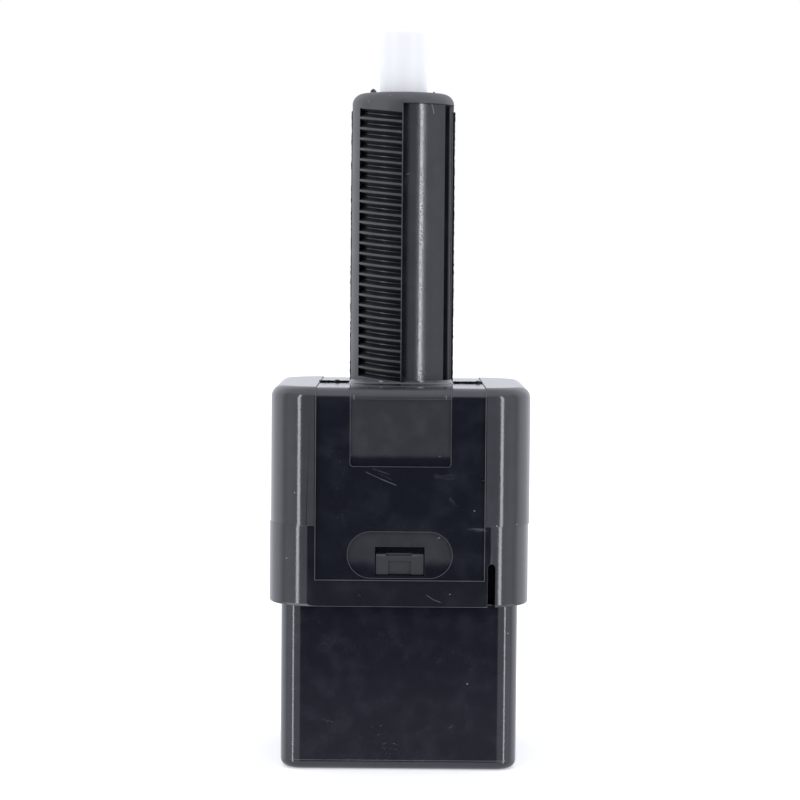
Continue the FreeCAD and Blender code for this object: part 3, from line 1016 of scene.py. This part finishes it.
        foot, ledge = self.shoulder + self.relief_foot, self.neck_top - self.collar
        panel, pocket = self.panel_width / 2, self.pocket_width / 2
        face = self.depth / 2 - self.panel_step
        pill_top, pill_side = self.pill_foot + self.pill[1], self.pill[0] / 2
        window = self.window[0] / 2
        slot = self.slot[0] / 2
        # Finish 3 is the lighter one, which paints highlight lines on the rounded edges.
        edge_highlight, same = 3, -1
        tests: tuple[tuple[Callable[[Vector], bool], float, int], ...] = (
            (lambda p: near(p.x, 0) and near(p.y, self.neck) and foot + 0.3 < p.z < ledge + 0.01, 0.045, same),
            (lambda p: near(p.z, ledge) and near(math.hypot(p.x, p.y), self.neck) and 0.4 < abs(p.x) < 4.6
             and p.x * p.y < 0, 0.05, same),
            (lambda p: near(p.x, panel) and p.z > self.panel_foot - 0.01
             or near(p.z, self.panel_foot) and abs(p.x) < panel + 0.01 and abs(p.y) > face, 0.075, edge_highlight),
            (lambda p: near(p.x, pocket) and p.z > self.shoulder - self.roll - self.top_step - 0.01
             or abs(p.x) < pocket + 0.01 and self.pocket_foot - 0.01 < p.z and near(p.y, face), 0.048, edge_highlight),
            (lambda p: abs(p.x) < pill_side + 0.01 and near(p.y, face)
             and self.pill_foot - 0.01 < p.z < pill_top + 0.01, 0.055, edge_highlight),
            (lambda p: abs(p.x) < window + 0.01 and face - 0.6 < abs(p.y) < face - 0.02
             and self.window_foot - 0.01 < p.z < pill_top, 0.03, same),
            (lambda p: near(p.x - self.slot_offset, 0, slot + 0.01) and p.y < -self.cavity[1] / 2 - 0.8
             and p.z < self.rim + self.slot[1] + 0.01, 0.05, same),
            (lambda p: near(p.z, self.parting) and panel - 0.01 < abs(p.x) < panel + 1.6, 0.03, edge_highlight),
            (lambda p: near(p.z, self.parting) and abs(p.y) < self.depth / 2 - self.corner and abs(p.x) > panel,
             0.03, edge_highlight),
        )
        for test, width, finish in tests:
            Bench.soften(body, test, width, 2, finish)

    def zone(self, x: float, y: float, z: float) -> int:
        """Says which finish a place on the case has.

        Args:
            x: Its place in X.
            y: Its place in Y.
            z: Its place in Z.

        Returns:
            0 for polished, 1 for the satin thread and collar, 2 for the smooth quarters, 3 for painted highlight edges,
            4 for the painted shade in the insides of the grooves and under the pocket's ledge.
        """
        # The underside of the pocket's ledge takes the darker finish, which paints shade.
        if abs(z - self.shoulder + self.pocket_ledge) < 0.02 and abs(x) < self.pocket_width / 2:
            return 4
        # The case's bottom round takes the lighter finish, which paints a highlight line along it.
        if self.rim + 0.03 < z < self.rim + self.rim_round - 0.02 and abs(y) > self.cavity[1] / 2 + 0.2:
            return 3
        if z < self.shoulder + self.relief_foot or math.hypot(x, y) < self.wide_bore + 0.1:
            return 0
        if z > self.neck_top - self.collar - 0.01:
            return 1
        if x * y > 0:
            # Inside the grooves the darker finish paints shade.
            return 1 if math.hypot(x, y) > self.neck - 0.05 else 4
        return 0 if abs(y) < 0.05 else 2

    def build(self, finishes: tuple["BlackMoulding", ...]) -> Piece:
        """Models the whole case and gives each part of it its finish.

        Args:
            finishes: Finishes of the housing, thread, smooth quarters, painted highlight edges and painted groove
                shade.

        Returns:
            The finished piece.
        """
        body = self.housing()
        stem = self.stem()
        relief = self.relief_tool()
        grooves = self.groove_tools()
        Bench.work(stem, Joining.CUT, Bench.turned_copy(relief), relief)
        Bench.work(stem, Joining.CUT, Bench.turned_copy(grooves), grooves)
        Bench.work(body, Joining.ADD, stem)
        half_x, half_y = self.cavity[0] / 2, self.cavity[1] / 2
        roof = self.shoulder - self.roof
        low = self.rim - 1
        cavity = Bench.rounded_block((-half_x, half_x), (-half_y, half_y), (low, roof), self.cavity_corner, 8)
        pill = self.pill_tool()
        width, height = self.window
        z = (self.window_foot, self.window_foot + height)
        window = Bench.block((-width / 2, width / 2), (-self.depth, self.depth), z)
        Bench.work(
            body, Joining.CUT, cavity,
            Bench.drum(self.wide_bore, low, self.neck_top - self.guide_land, 64),
            Bench.drum(self.bore, low, self.neck_top + 1, 64),
            self.slot_tool(), Bench.turned_copy(pill), pill, window,
        )
        for finish in finishes:
            body.data.materials.append(finish.material())
        self.soften(body)
        for face in body.data.polygons:
            if face.material_index == 0:
                face.material_index = self.zone(*face.center)
        return Bench.finish(body, "case_body", Body.HOUSING, Slot.BLACK, ["case"])


@dataclass(frozen=True)
class Flash:
    """Ragged fin of plastic where the mould's halves met."""

    name: str
    place: Triple
    length: float
    reach: float
    thick: float = 0.05
    turn: float = 0.0
    spread: float = 0.05
    pieces: int = 90
    seed: int = 1
    upright: bool = True
    knob: float = 0
    knob_radius: float = 0.23
    knob_rise: float = 0.06
    knob_stretch: Triple = (1.5, 0.9, 0.8)

    def build(self, finish: BlackMoulding) -> Piece:
        """Models the fin along Z or X, with its free edge roughened and a knob on it.

        Args:
            finish: The finish of the plastic.

        Returns:
            The finished piece.
        """
        root = 0.08
        fin = Bench.block((-root, self.reach), (-self.thick / 2, self.thick / 2), (0, self.length))
        Bench.pick_edges(fin, Bench.upright)
        bpy.ops.mesh.subdivide(number_cuts=self.pieces)
        Bench.pick_faces(fin, lambda face: face.normal.x > 0.5)
        bpy.ops.transform.vertex_random(offset=self.spread, seed=self.seed)
        Bench.clear()
        if not self.upright:
            fin.rotation_euler = (0, -math.pi / 2, 0)
            Bench.settle(fin)
        fin.rotation_euler = (0, 0, math.radians(self.turn))
        fin.location = self.place
        Bench.settle(fin)
        if self.knob:
            Bench.clear()
            bpy.ops.mesh.primitive_uv_sphere_add(
                segments=16, ring_count=8, radius=self.knob_radius,
                location=(self.knob, 0, self.place[2] + self.knob_rise),
            )
            knob = Bench.settle(bpy.context.object)
            Bench.pick_faces(knob, lambda face: True)
            bpy.ops.transform.resize(value=self.knob_stretch, center_override=(self.knob, 0, self.place[2]))
            bpy.ops.transform.vertex_random(offset=0.02, seed=self.seed)
            Bench.work(fin, Joining.ADD, knob)
        dress(fin, finish.material())
        return Bench.finish(fin, self.name, Body.HOUSING, Slot.BLACK, [])


@dataclass
class ConnectorBase:
    """Block that closes the case, with the connector shroud below it, one black moulding."""

    width: float = 22.4
    depth: float = 21.0
    top: float = 15.7
    plug_top: float = 21.5
    corner: float = 2.0
    plug_corner: float = 3.1
    plug_chamfer: float = 0.4
    roll: float = 0.85
    wall: float = 1.5
    socket_depth: float = 12.5
    socket_corner: float = 0.8
    hook: Triple = (4.5, 2.0, 0.85)
    hook_foot: float = 18.7
    hook_chamfer: float = 0.3
    notch: Triple = (2.15, 1.3, 0.25)
    dip: Triple = (-1.3, 1.15, 0.35)
    dip_drop: float = 0.24
    key: tuple[float, float] = (8.05, 9.15)
    key_deep: float = 1.6
    key_rise: float = 0.15
    spring_pocket: tuple[float, float] = (2.8, 3.5)
    blade: tuple[float, float] = (2.32, 0.66)
    blade_place: tuple[float, float] = (5.0, 4.0)

    def hook_block(self) -> Piece:
        """Models the front snap hook with its notch.

        Returns:
            The solid hook.
        """
        half, high, reach = self.hook[0] / 2, self.hook_foot + self.hook[1], self.depth / 2 + self.hook[2]
        block = Bench.block((-half, half), (-reach, -self.depth / 2 + 1), (self.hook_foot, high))
        Bench.round_edges(
            block,
            lambda edge: Bench.level_at(high)(edge) and all(v.co.y < -reach + 0.01 for v in edge.verts),
            self.hook_chamfer, 2,
        )
        notch = self.notch[0] / 2
        recess = Bench.block(
            (-notch, notch), (-reach - 1, -reach + self.notch[2]), (self.hook_foot - 1, self.hook_foot + self.notch[1])
        )
        dip = Bench.block(self.dip[:2], (-reach - 1, -reach + self.dip[2]), (high - self.dip_drop, high + 1))
        Bench.work(block, Joining.CUT, recess, dip)
        return Bench.soften(block, lambda p: p.y < -self.depth / 2, 0.04)

    def build(self, finishes: tuple[BlackMoulding, ...]) -> Piece:
        """Models the whole base and gives it its finishes.

        Args:
            finishes: Finishes of the shroud and of the hooks.

        Returns:
            The finished piece.
        """
        x, y = (-self.width / 2, self.width / 2), (-self.depth / 2, self.depth / 2)
        body = Bench.rounded_block(x, y, (0, self.top), self.corner, 12)
        Bench.round_edges(body, Bench.level_at(0), self.roll, 8)
        plug = Bench.rounded_block(x, y, (self.top, self.plug_top), self.plug_corner, 8)
        Bench.round_edges(plug, Bench.level_at(self.plug_top), self.plug_chamfer, 1)
        hook = self.hook_block()
        Bench.work(body, Joining.ADD, plug, Bench.turned_copy(hook), hook)
        inner_x, inner_y = self.width / 2 - self.wall, self.depth / 2 - self.wall
        socket = Bench.rounded_block(
            (-inner_x, inner_x), (-inner_y, inner_y), (-1, self.socket_depth), self.socket_corner, 6
        )
        radius, deep = self.spring_pocket
        pocket = Bench.drum(radius, self.plug_top - deep, self.plug_top + 1, 48)
        slots = []
        for side in (-1, 1):
            for end in (-1, 1):
                place_x, place_y = side * self.blade_place[0], end * self.blade_place[1]
                half_x, half_y = self.blade[0] / 2, self.blade[1] / 2
                slots.append(
                    Bench.block(
                        (place_x - half_x, place_x + half_x), (place_y - half_y, place_y + half_y),
                        (self.socket_depth - 1, self.plug_top + 1),
                    )
                )
        key = Bench.block(
            self.key, (-self.depth, -self.depth / 2 + self.key_deep), (self.top + self.key_rise, self.plug_top + 1)
        )
        Bench.work(body, Joining.CUT, socket, pocket, key, *slots)
        for finish in finishes:
            body.data.materials.append(finish.material())
        for face in body.data.polygons:
            if abs(face.center.x) < self.hook[0] / 2 + 0.01 and abs(face.center.y) > self.depth / 2 + 0.02:
                face.material_index = 1
        return Bench.finish(body, "connector_body", Body.HOUSING, Slot.BLACK, ["connector_base"])


@dataclass
class Plunger:
    """Tip, shank and contact carrier, one white moulding."""

    tip: float = 2.28
    tip_top: float = 70.4
    tip_round: float = 0.32
    shank: float = 2.55
    shank_top: float = 57.5
    carrier: Triple = (13.2, 5.2, 6.7)
    carrier_foot: float = 27.5
    carrier_round: float = 0.4
    tongue: tuple[float, float] = (22.3, 2.0)
    tongue_drop: float = 0.6
    pocket: tuple[float, float] = (2.8, 4.5)
    window_width: float = 2.6
    contact_offset: float = 5.0
    brake_window: tuple[float, float] = (28.2, 33.65)
    cruise_window: tuple[float, float] = (29.75, 33.3)

    def build(self) -> Piece:
        """Models the whole plunger.

        Returns:
            The finished piece.
        """
        top = self.carrier_foot + self.carrier[2]
        half_x, half_y = self.carrier[0] / 2, self.carrier[1] / 2
        body = Bench.rounded_block(
            (-half_x, half_x), (-half_y, half_y), (self.carrier_foot, top), self.carrier_round, 5
        )
        tongue = Bench.block(
            (-self.tongue[0] / 2, self.tongue[0] / 2), (-self.tongue[1] / 2, self.tongue[1] / 2),
            (self.carrier_foot + self.tongue_drop, top - self.tongue_drop),
        )
        shank = Bench.drum(self.shank, top - 1, self.shank_top, 72)
        tip = Bench.drum(self.tip, top - 1, self.tip_top, 72)
        Bench.round_edges(tip, Bench.level_at(self.tip_top), self.tip_round, 8)
        Bench.work(body, Joining.ADD, tongue, shank, tip)
        radius, deep = self.pocket
        Bench.work(body, Joining.CUT, Bench.drum(radius, self.carrier_foot - 1, self.carrier_foot + deep, 48))
        for side, (low, high) in ((-1, self.brake_window), (1, self.cruise_window)):
            middle, half = side * self.contact_offset, self.window_width / 2
            reach = self.carrier[1]
            Bench.work(body, Joining.CUT, Bench.block((middle - half, middle + half), (-reach, reach), (low, high)))
        return Bench.finish(body, "plunger_body", Body.PLUNGER, Slot.WHITE, ["plunger"])


@dataclass(frozen=True)
class Coil:
    """One round-wire spring between two heights."""

    name: str
    node: str
    body: Body
    low: float
    high: float
    radius: float
    wire: float
    turns: int
    offset: float
    joint: str
    anchor: float
    keep: float

    def build(self) -> Piece:
        """Models the spring, with a mesh of its own when keep is below one.

        Returns:
            The finished piece.
        """
        Bench.clear()
        bpy.ops.mesh.primitive_circle_add(
            vertices=12, radius=self.wire, location=(self.radius, 0, self.low + self.wire),
            rotation=(math.pi / 2, 0, 0),
        )
        coil = Bench.settle(bpy.context.object)
        steps = 28 * self.turns
        Bench.apply(
            coil, "SCREW", angle=FULL_TURN * self.turns, screw_offset=self.high - self.low - 2 * self.wire,
            steps=steps, render_steps=steps, use_merge_vertices=False,
        )
        Bench.pick_edges(coil, lambda edge: edge.is_boundary)
        bpy.ops.mesh.fill_holes(sides=0)
        Bench.clear()
        coil.location.x = self.offset
        Bench.settle(coil)
        Bench.finish(coil, self.name, self.body, Slot.STEEL, [self.node], 60)
        if self.keep < 1:
            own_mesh(coil)
        return coil


@dataclass(frozen=True)
class Stamping:
    """A small metal piece that keeps the frame's form and gets broken edges."""

    node: str
    body: Body
    slot: Slot
    edge: float = 0.06

    def build(self) -> Piece:
        """Copies the node, joins its loose faces and breaks its edges.

        Returns:
            The finished piece.
        """
        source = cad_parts[self.node]
        Bench.clear()
        twin = source.copy()
        twin.data = source.data.copy()
        twin.parent = None
        twin.matrix_world = source.matrix_world.copy()
        for key in list(twin.keys()):
            del twin[key]
        bpy.context.collection.objects.link(twin)
        twin.hide_render = twin.hide_viewport = False
        Bench.settle(twin)
        twin.scale = (1 / METRES, 1 / METRES, 1 / METRES)
        Bench.settle(twin)
        bpy.ops.object.mode_set(mode="EDIT")
        bpy.ops.mesh.select_all(action="SELECT")
        bpy.ops.mesh.remove_doubles(threshold=1e-3)
        bpy.ops.mesh.dissolve_limited(angle_limit=math.radians(1))
        Bench.clear()
        Bench.round_edges(twin, lambda edge: edge.calc_face_angle(0) > math.radians(50), self.edge, 2)
        return Bench.finish(twin, self.node + "_metal", self.body, self.slot, [self.node], 35)


@dataclass
class Studio:
    """Light tent, strip lamps, floor and camera."""

    distance: float = 0.245
    aim: float = 0.0345
    pitch: float = 3.1
    roll: float = 0.476
    lens: float = 112.5
    shift: float = -0.00125
    strip_azimuth: float = 48.0
    strip_distance: float = 0.55
    strip_size: tuple[float, float] = (0.065, 0.60)
    strip_power: float = 0.6
    tent: float = 0.7
    tint: Colour = (0.965, 0.985, 1.07)
    strip_height: float = 0.03
    strip_colour: Colour = (0.94, 1.0, 1.05)
    levels: tuple[tuple[float, float], ...] = (
        (0, 0.0), (6, 0.0), (13, 0.9), (35, 0.9), (55, 1.3), (75, 1.4), (89, 1.1), (105, 1.9), (148, 1.9),
        (157, 1.45), (180, 1.2),
    )
    brightest: float = 2.0
    roof: Triple = (0.35, 0.75, 0.9)
    ground: Triple = (-0.12, -0.45, 0.6)
    floor_glow: float = 0.42

    def camera(self) -> None:
        """Sets the camera where the photograph was taken from."""
        pitch = math.radians(self.pitch)
        target = Vector((0, 0, self.aim))
        place = target + Vector((0, -math.cos(pitch), math.sin(pitch))) * self.distance
        data = bpy.data.cameras.new("camera")
        data.lens = self.lens
        data.sensor_width = 36
        data.shift_x = self.shift
        data.clip_start, data.clip_end = 0.01, 10
        camera = bpy.data.objects.new("camera", data)
        bpy.context.scene.collection.objects.link(camera)
        camera.location = place
        camera.rotation_mode = "QUATERNION"
        look = (target - place).to_track_quat("-Z", "Y")
        camera.rotation_quaternion = look @ Quaternion((0, 0, 1), math.radians(self.roll))
        bpy.context.scene.camera = camera

    def world(self) -> None:
        """Builds the light tent: brightness by direction, and plain white behind the object."""
        world = bpy.data.worlds.new("tent")
        bpy.context.scene.world = world
        world.use_nodes = True
        tree = world.node_tree
        tree.nodes.clear()

        def add(kind: str, **settings: object) -> bpy.types.Node:
            """Adds a node to the tent's tree."""
            node = tree.nodes.new(kind)
            for name, value in settings.items():
                setattr(node, name, value)
            return node

        place = add("ShaderNodeTexCoord")
        parts = add("ShaderNodeSeparateXYZ")
        tree.links.new(place.outputs["Generated"], parts.inputs[0])
        forward = add("ShaderNodeMath", operation="MULTIPLY")
        forward.inputs[1].default_value = -1
        tree.links.new(parts.outputs["Y"], forward.inputs[0])
        turn = add("ShaderNodeMath", operation="ARCTAN2")
        tree.links.new(parts.outputs["X"], turn.inputs[0])
        tree.links.new(forward.outputs[0], turn.inputs[1])
        side = add("ShaderNodeMath", operation="ABSOLUTE")
        tree.links.new(turn.outputs[0], side.inputs[0])
        share = add("ShaderNodeMath", operation="DIVIDE")
        share.inputs[1].default_value = math.pi
        tree.links.new(side.outputs[0], share.inputs[0])
        ramp = add("ShaderNodeValToRGB")
        tint = self.tint
        for number, (degrees, level) in enumerate(self.levels):
            place_on_ramp = degrees / 180
            if number < 2:
                stop = ramp.color_ramp.elements[number]
                stop.position = place_on_ramp
            else:
                stop = ramp.color_ramp.elements.new(place_on_ramp)
            stop.color = (*(level / self.brightest * part for part in tint), 1)
        tree.links.new(share.outputs[0], ramp.inputs[0])
        up = add("ShaderNodeMapRange", interpolation_type="SMOOTHSTEP")
        up.inputs["From Min"].default_value, up.inputs["From Max"].default_value = self.roof[:2]
        tree.links.new(parts.outputs["Z"], up.inputs["Value"])
        roofed = add("ShaderNodeMix", data_type="RGBA")
        roofed.inputs[7].default_value = (*(self.roof[2] * part for part in tint), 1)
        tree.links.new(up.outputs[0], roofed.inputs[0])
        tree.links.new(ramp.outputs[0], roofed.inputs[6])
        down = add("ShaderNodeMapRange", interpolation_type="SMOOTHSTEP")
        down.inputs["From Min"].default_value, down.inputs["From Max"].default_value = self.ground[:2]
        tree.links.new(parts.outputs["Z"], down.inputs["Value"])
        floored = add("ShaderNodeMix", data_type="RGBA")
        floored.inputs[7].default_value = (*(self.ground[2] * part for part in tint), 1)
        tree.links.new(down.outputs[0], floored.inputs[0])
        tree.links.new(roofed.outputs[2], floored.inputs[6])
        tent = add("ShaderNodeBackground")
        tent.inputs["Strength"].default_value = self.brightest * self.tent
        tree.links.new(floored.outputs[2], tent.inputs["Color"])
        behind = add("ShaderNodeBackground")
        behind.inputs["Color"].default_value = (1, 1, 1, 1)
        rays = add("ShaderNodeLightPath")
        choice = add("ShaderNodeMixShader")
        tree.links.new(rays.outputs["Is Camera Ray"], choice.inputs[0])
        tree.links.new(tent.outputs[0], choice.inputs[1])
        tree.links.new(behind.outputs[0], choice.inputs[2])
        output = add("ShaderNodeOutputWorld")
        tree.links.new(choice.outputs[0], output.inputs[0])

    def lamps(self) -> None:
        """Sets the two tall strip lamps."""
        for side in (-1, 1):
            data = bpy.data.lights.new("strip_lamp", "AREA")
            data.shape = "RECTANGLE"
            data.size, data.size_y = self.strip_size
            data.energy = self.strip_power
            data.color = self.strip_colour
            lamp = bpy.data.objects.new("strip_lamp", data)
            bpy.context.scene.collection.objects.link(lamp)
            angle = math.radians(self.strip_azimuth) * side
            height = self.strip_height
            lamp.location = (
                math.sin(angle) * self.strip_distance, -math.cos(angle) * self.strip_distance, height
            )
            facing = Vector((0, 0, height)) - lamp.location
            lamp.rotation_euler = facing.to_track_quat("-Z", "Y").to_euler()

    def floor(self) -> None:
        """Lays the pale floor."""
        Bench.clear()
        bpy.ops.mesh.primitive_plane_add(size=4)
        floor = bpy.context.object
        floor.name = "floor"
        recipe = Recipe("pale_floor")
        recipe.feed(recipe.shader.inputs["Base Color"], (0.8, 0.8, 0.8))
        recipe.shader.inputs["Roughness"].default_value = 0.9
        recipe.shader.inputs["Specular IOR Level"].default_value = 0
        rays = recipe.add("ShaderNodeLightPath")
        recipe.feed(recipe.shader.inputs["Emission Color"], (1.0, 1.0, 1.0))
        glow = recipe.calc("MULTIPLY", rays.outputs["Is Camera Ray"], self.floor_glow)
        recipe.feed(recipe.shader.inputs["Emission Strength"], glow)
        floor.data.materials.append(recipe.material)
        floor.visible_glossy = False

    def build(self) -> None:
        """Sets up everything round the object."""
        self.camera()
        self.world()
        self.lamps()
        self.floor()
        bpy.context.scene.view_settings.view_transform = "Standard"


def burr(name: str, place: Triple, size: Triple) -> Piece:
    """Models a torn knob of plastic on the neck's top.

    Args:
        name: Its name.
        place: Its place in millimetres.
        size: Its half sizes.

    Returns:
        The finished piece.
    """
    Bench.clear()
    bpy.ops.mesh.primitive_uv_sphere_add(segments=16, ring_count=10, radius=1, location=place, scale=size)
    lump = Bench.settle(bpy.context.object)
    Bench.pick_faces(lump, lambda face: True)
    bpy.ops.transform.vertex_random(offset=size[2] / 4, seed=4)
    Bench.clear()
    return Bench.finish(lump, name, Body.HOUSING, Slot.BLACK, [], 60)


def dress(piece: Piece, *materials: bpy.types.Material) -> None:
    """Gives a piece its materials, the first one on every face.

    Args:
        piece: The piece.
        *materials: Its materials, the main one first.
    """
    piece.data.materials.clear()
    for material in materials:
        piece.data.materials.append(material)
    for face in piece.data.polygons:
        face.material_index = 0


def main() -> None:
    """Builds the pieces in order and dresses them."""
    logging.basicConfig(level=logging.INFO, format="%(message)s")
    Studio().build()
    case_marks_and_glints = (
        Mark((-3.23, 28.37), (-1.81, 27.72), 0.05, 0.16), Mark((-1.81, 27.72), (-0.4, 27.15), 0.06, 0.22),
        Mark((-2.6, 28.67), (-0.82, 28.11), 0.05, 0.13, Trace.BROKEN),
        Mark((-1.9, 28.2), (-0.5, 27.5), 0.04, 0.08, Trace.BROKEN),
        Mark((-4.7, 28.15), (-3.7, 28.1), 0.5, 0.05, Trace.SMEARED),
        Mark((3.5, 28.15), (4.8, 28.1), 0.55, 0.06, Trace.SMEARED),
        Mark((3.24, 23.05), (4.62, 22.95), 0.35, 0.12, Trace.SMEARED),
        Mark((6.6, 23.1), (7.8, 23.0), 0.5, 0.14, Trace.SMEARED),
        Mark((7.75, 28.7), (7.75, 27.7), 0.22, 0.1, Trace.DUSTY),
        Mark((4.7, 25.9), (5.3, 25.2), 0.2, 0.05, Trace.BROKEN),
        Mark((2.58, 16.85), (3.15, 16.45), 0.05, 0.2), Mark((3.15, 16.45), (3.86, 16.2), 0.05, 0.2),
        Mark((-3.87, 16.93), (-3.06, 16.11), 0.05, 0.14, Trace.BROKEN),
        Mark((6.93, 24.79), (6.99, 24.8), 0.06, 0.7), Mark((4.7, 16.95), (4.76, 16.97), 0.06, 0.5),
        Mark((-9.9, 26.35), (-9.88, 26.37), 0.07, 0.7), Mark((-10.64, 20.14), (-10.6, 20.16), 0.07, 0.6),
        Mark((3.67, 29.85), (3.7, 29.87), 0.07, 0.35), Mark((3.6, 22.15), (3.75, 22.25), 0.055, 0.55),
        Mark((9.04, 23.4), (9.1, 23.41), 0.09, 0.5), Mark((10.95, 23.45), (11.05, 23.47), 0.07, 0.4),
        # These two paint reflections at the pocket's top corners.
        Mark((-4.4, 35.5), (-4.38, 35.1), 0.06, 0.35), Mark((4.22, 35.55), (4.23, 35.15), 0.06, 0.35),
        Mark((-5.5, 24.6), (5.5, 20.6), 2.2, 0.02, Trace.DUSTY),
        Mark((-6.5, 31.5), (-5.5, 26.5), 1.2, 0.02, Trace.DUSTY),
        Mark((-8.2, 16.9), (8.0, 16.9), 2.0, 0.011), Mark((-7.5, 22.0), (7.5, 22.0), 3.0, 0.004, Trace.BROKEN),
    )
    polished = BlackMoulding("polished_black", satin_floors=True, marks=case_marks_and_glints)
    satin = BlackMoulding(
        "satin_black", 0.5, 0.05, 0.00012, 0.000005, base=(0.032, 0.0325, 0.036), dusty=(0.048, 0.0485, 0.051),
        marks=(
            Mark((-1.3, 63.9), (-1.28, 63.92), 0.07, 0.4), Mark((-3.4, 63.4), (-3.3, 63.3), 0.06, 0.3),
            Mark((-4.0, 57.6), (-0.4, 56.9), 0.3, 0.12, Trace.DUSTY),
            Mark((-3.0, 61.5), (-0.5, 60.5), 0.4, 0.1, Trace.DUSTY),
        ),
    )
    smooth = BlackMoulding(
        "grainy_black", 0.1, 0.03, grain=0.00014, relief=0.000013, ior=1.62,
        marks=(
            Mark((2.7, 63.19), (2.85, 62.81), 0.05, 0.5), Mark((2.85, 62.81), (2.93, 62.28), 0.05, 0.45),
            Mark((0.35, 56.4), (0.6, 56.45), 0.07, 0.2),
        ),
        gleams=(Mark((1.72, 36.5), (1.72, 63.3), 0.6, 1.0, Trace.FROSTED),),
    )
    white = WhiteMoulding().material()
    steel = Metal("drawn_steel", (0.58, 0.58, 0.59), (0.42, 0.42, 0.44)).material()
    brass = Metal("tinned_brass", (0.74, 0.71, 0.64), (0.6, 0.56, 0.48)).material()
    copper = Metal("stamped_copper", (0.76, 0.45, 0.29), (0.5, 0.28, 0.17)).material()
    silver = Metal("contact_silver", (0.88, 0.87, 0.84), (0.66, 0.64, 0.6), 0.2).material()
    # A lighter finish that paints highlight lines on the rounded edges; its stroke paints one along the case's bottom
    # edge.
    edge_highlight = BlackMoulding(
        "edge_highlight_black", 0.5, 0.05, base=(0.055, 0.057, 0.062), dusty=(0.08, 0.08, 0.085),
        marks=(Mark((-10.4, 15.82), (8.0, 15.82), 0.3, 0.22),),
    )
    # A darker finish that paints shade in the groove insides and under the pocket's ledge.
    shaded = BlackMoulding("groove_shade_black", 0.34, 0.04, base=(0.004, 0.0042, 0.006), dusty=(0.008, 0.0085, 0.011))
    Case().build((polished, satin, smooth, edge_highlight, shaded))
    shroud_marks_and_highlight = (
        Mark((6.45, 8.28), (6.5, 8.3), 0.08, 0.6), Mark((10.27, 13.06), (10.3, 13.1), 0.08, 0.5),
        Mark((-2.1, 3.9), (-0.3, 1.2), 0.9, 0.09, Trace.DUSTY), Mark((-1.5, 4.2), (-1.1, 2.0), 0.45, 0.08, Trace.DUSTY),
        Mark((-7.21, 4.85), (-6.26, 4.5), 0.2, 0.07, Trace.BROKEN),
        Mark((-8.5, 13.5), (7.5, 9.5), 3.0, 0.02, Trace.DUSTY),
        Mark((-0.5, 2.6), (0.2, 2.3), 0.06, 0.2, Trace.BROKEN), Mark((-9.5, 2.2), (9.5, 2.2), 9.0, 0.011),
        # These two paint a highlight line along the top of the shroud's bottom round.
        Mark((-10.15, 0.95), (10.15, 0.95), 0.055, 0.22), Mark((-5.0, 0.95), (3.0, 0.95), 0.05, 0.35, Trace.BROKEN),
        Mark((4.8, 4.05), (5.1, 4.3), 0.05, 0.15), Mark((-1.2, 2.6), (-1.1, 1.0), 0.35, 0.14, Trace.DUSTY),
    )
    shroud = BlackMoulding(
        "moulded_black", base=(0.012, 0.0128, 0.0195), dusty=(0.019, 0.0205, 0.029), marks=shroud_marks_and_highlight
    )
    ConnectorBase().build((shroud, BlackMoulding("hook_black", 0.42, 0.04, base=(0.022, 0.0225, 0.027))))
    fins = (
        Flash("neck_flash_right", (4.93, 0, 36.3), 26.3, 0.12, 0.07, seed=3, pieces=110),
        Flash("neck_flash_left", (-4.93, 0, 36.3), 26.3, 0.1, 0.07, 180.0, seed=5, pieces=110),
        Flash("shoulder_flash_right", (7.95, 0, 36.22), 3.0, 0.15, 0.1, 0.0, 0.035, 16, 7, False, 7.5),
        Flash("shoulder_flash_left", (-4.95, 0, 36.22), 3.1, 0.15, 0.1, 0.0, 0.035, 16, 9, False, -6.25),
    )
    for fin in fins:
        fin.build(BlackMoulding("flash_black", 0.3, 0.05, base=(0.004, 0.004, 0.005), ior=1.35))
    for name, place, size in (
        ("neck_burr_large", (-2.92, -1.4, 64.33), (0.32, 0.22, 0.33)),
        ("neck_burr_small", (2.95, -1.2, 64.32), (0.12, 0.1, 0.15)),
    ):
        burr(name, place, size).data.materials.append(BlackMoulding("burr_black", 0.35, 0.05).material())
    dress(Plunger().build(), white)
    coils = (
        Coil("return_coil", "return_spring", Body.HOUSING, 18.0, 32.0, 2.2, 0.25, 8, 0.0,
             "plunger_slide", 18.0, 8.5 / 14),
        Coil("brake_coil", "brake_contact_spring", Body.PLUNGER, 28.2, 31.6, 0.9, 0.14, 4, -5.0,
             "brake_bridge_slide", 28.2, 1.0),
        Coil("cruise_coil", "cruise_contact_spring", Body.PLUNGER, 30.3, 33.3, 0.9, 0.14, 4, 5.0,
             "cruise_bridge_slide", 33.3, 0.5),
    )
    for coil in coils:
        dress(coil.build(), steel)
    for circuit, bridge in (("brake", Body.BRAKE_BRIDGE), ("cruise", Body.CRUISE_BRIDGE)):
        dress(Stamping(circuit + "_contact_bridge", bridge, Slot.COPPER).build(), copper)
        for end in ("front", "rear"):
            dress(Stamping(f"{circuit}_terminal_{end}", Body.HOUSING, Slot.BRASS).build(), brass)
            dress(Stamping(f"{circuit}_fixed_contact_{end}", Body.HOUSING, Slot.SILVER, 0.1).build(), silver)
            dress(Stamping(f"{circuit}_moving_contact_{end}", bridge, Slot.SILVER, 0.1).build(), silver)


if __name__ == "__main__":
    main()
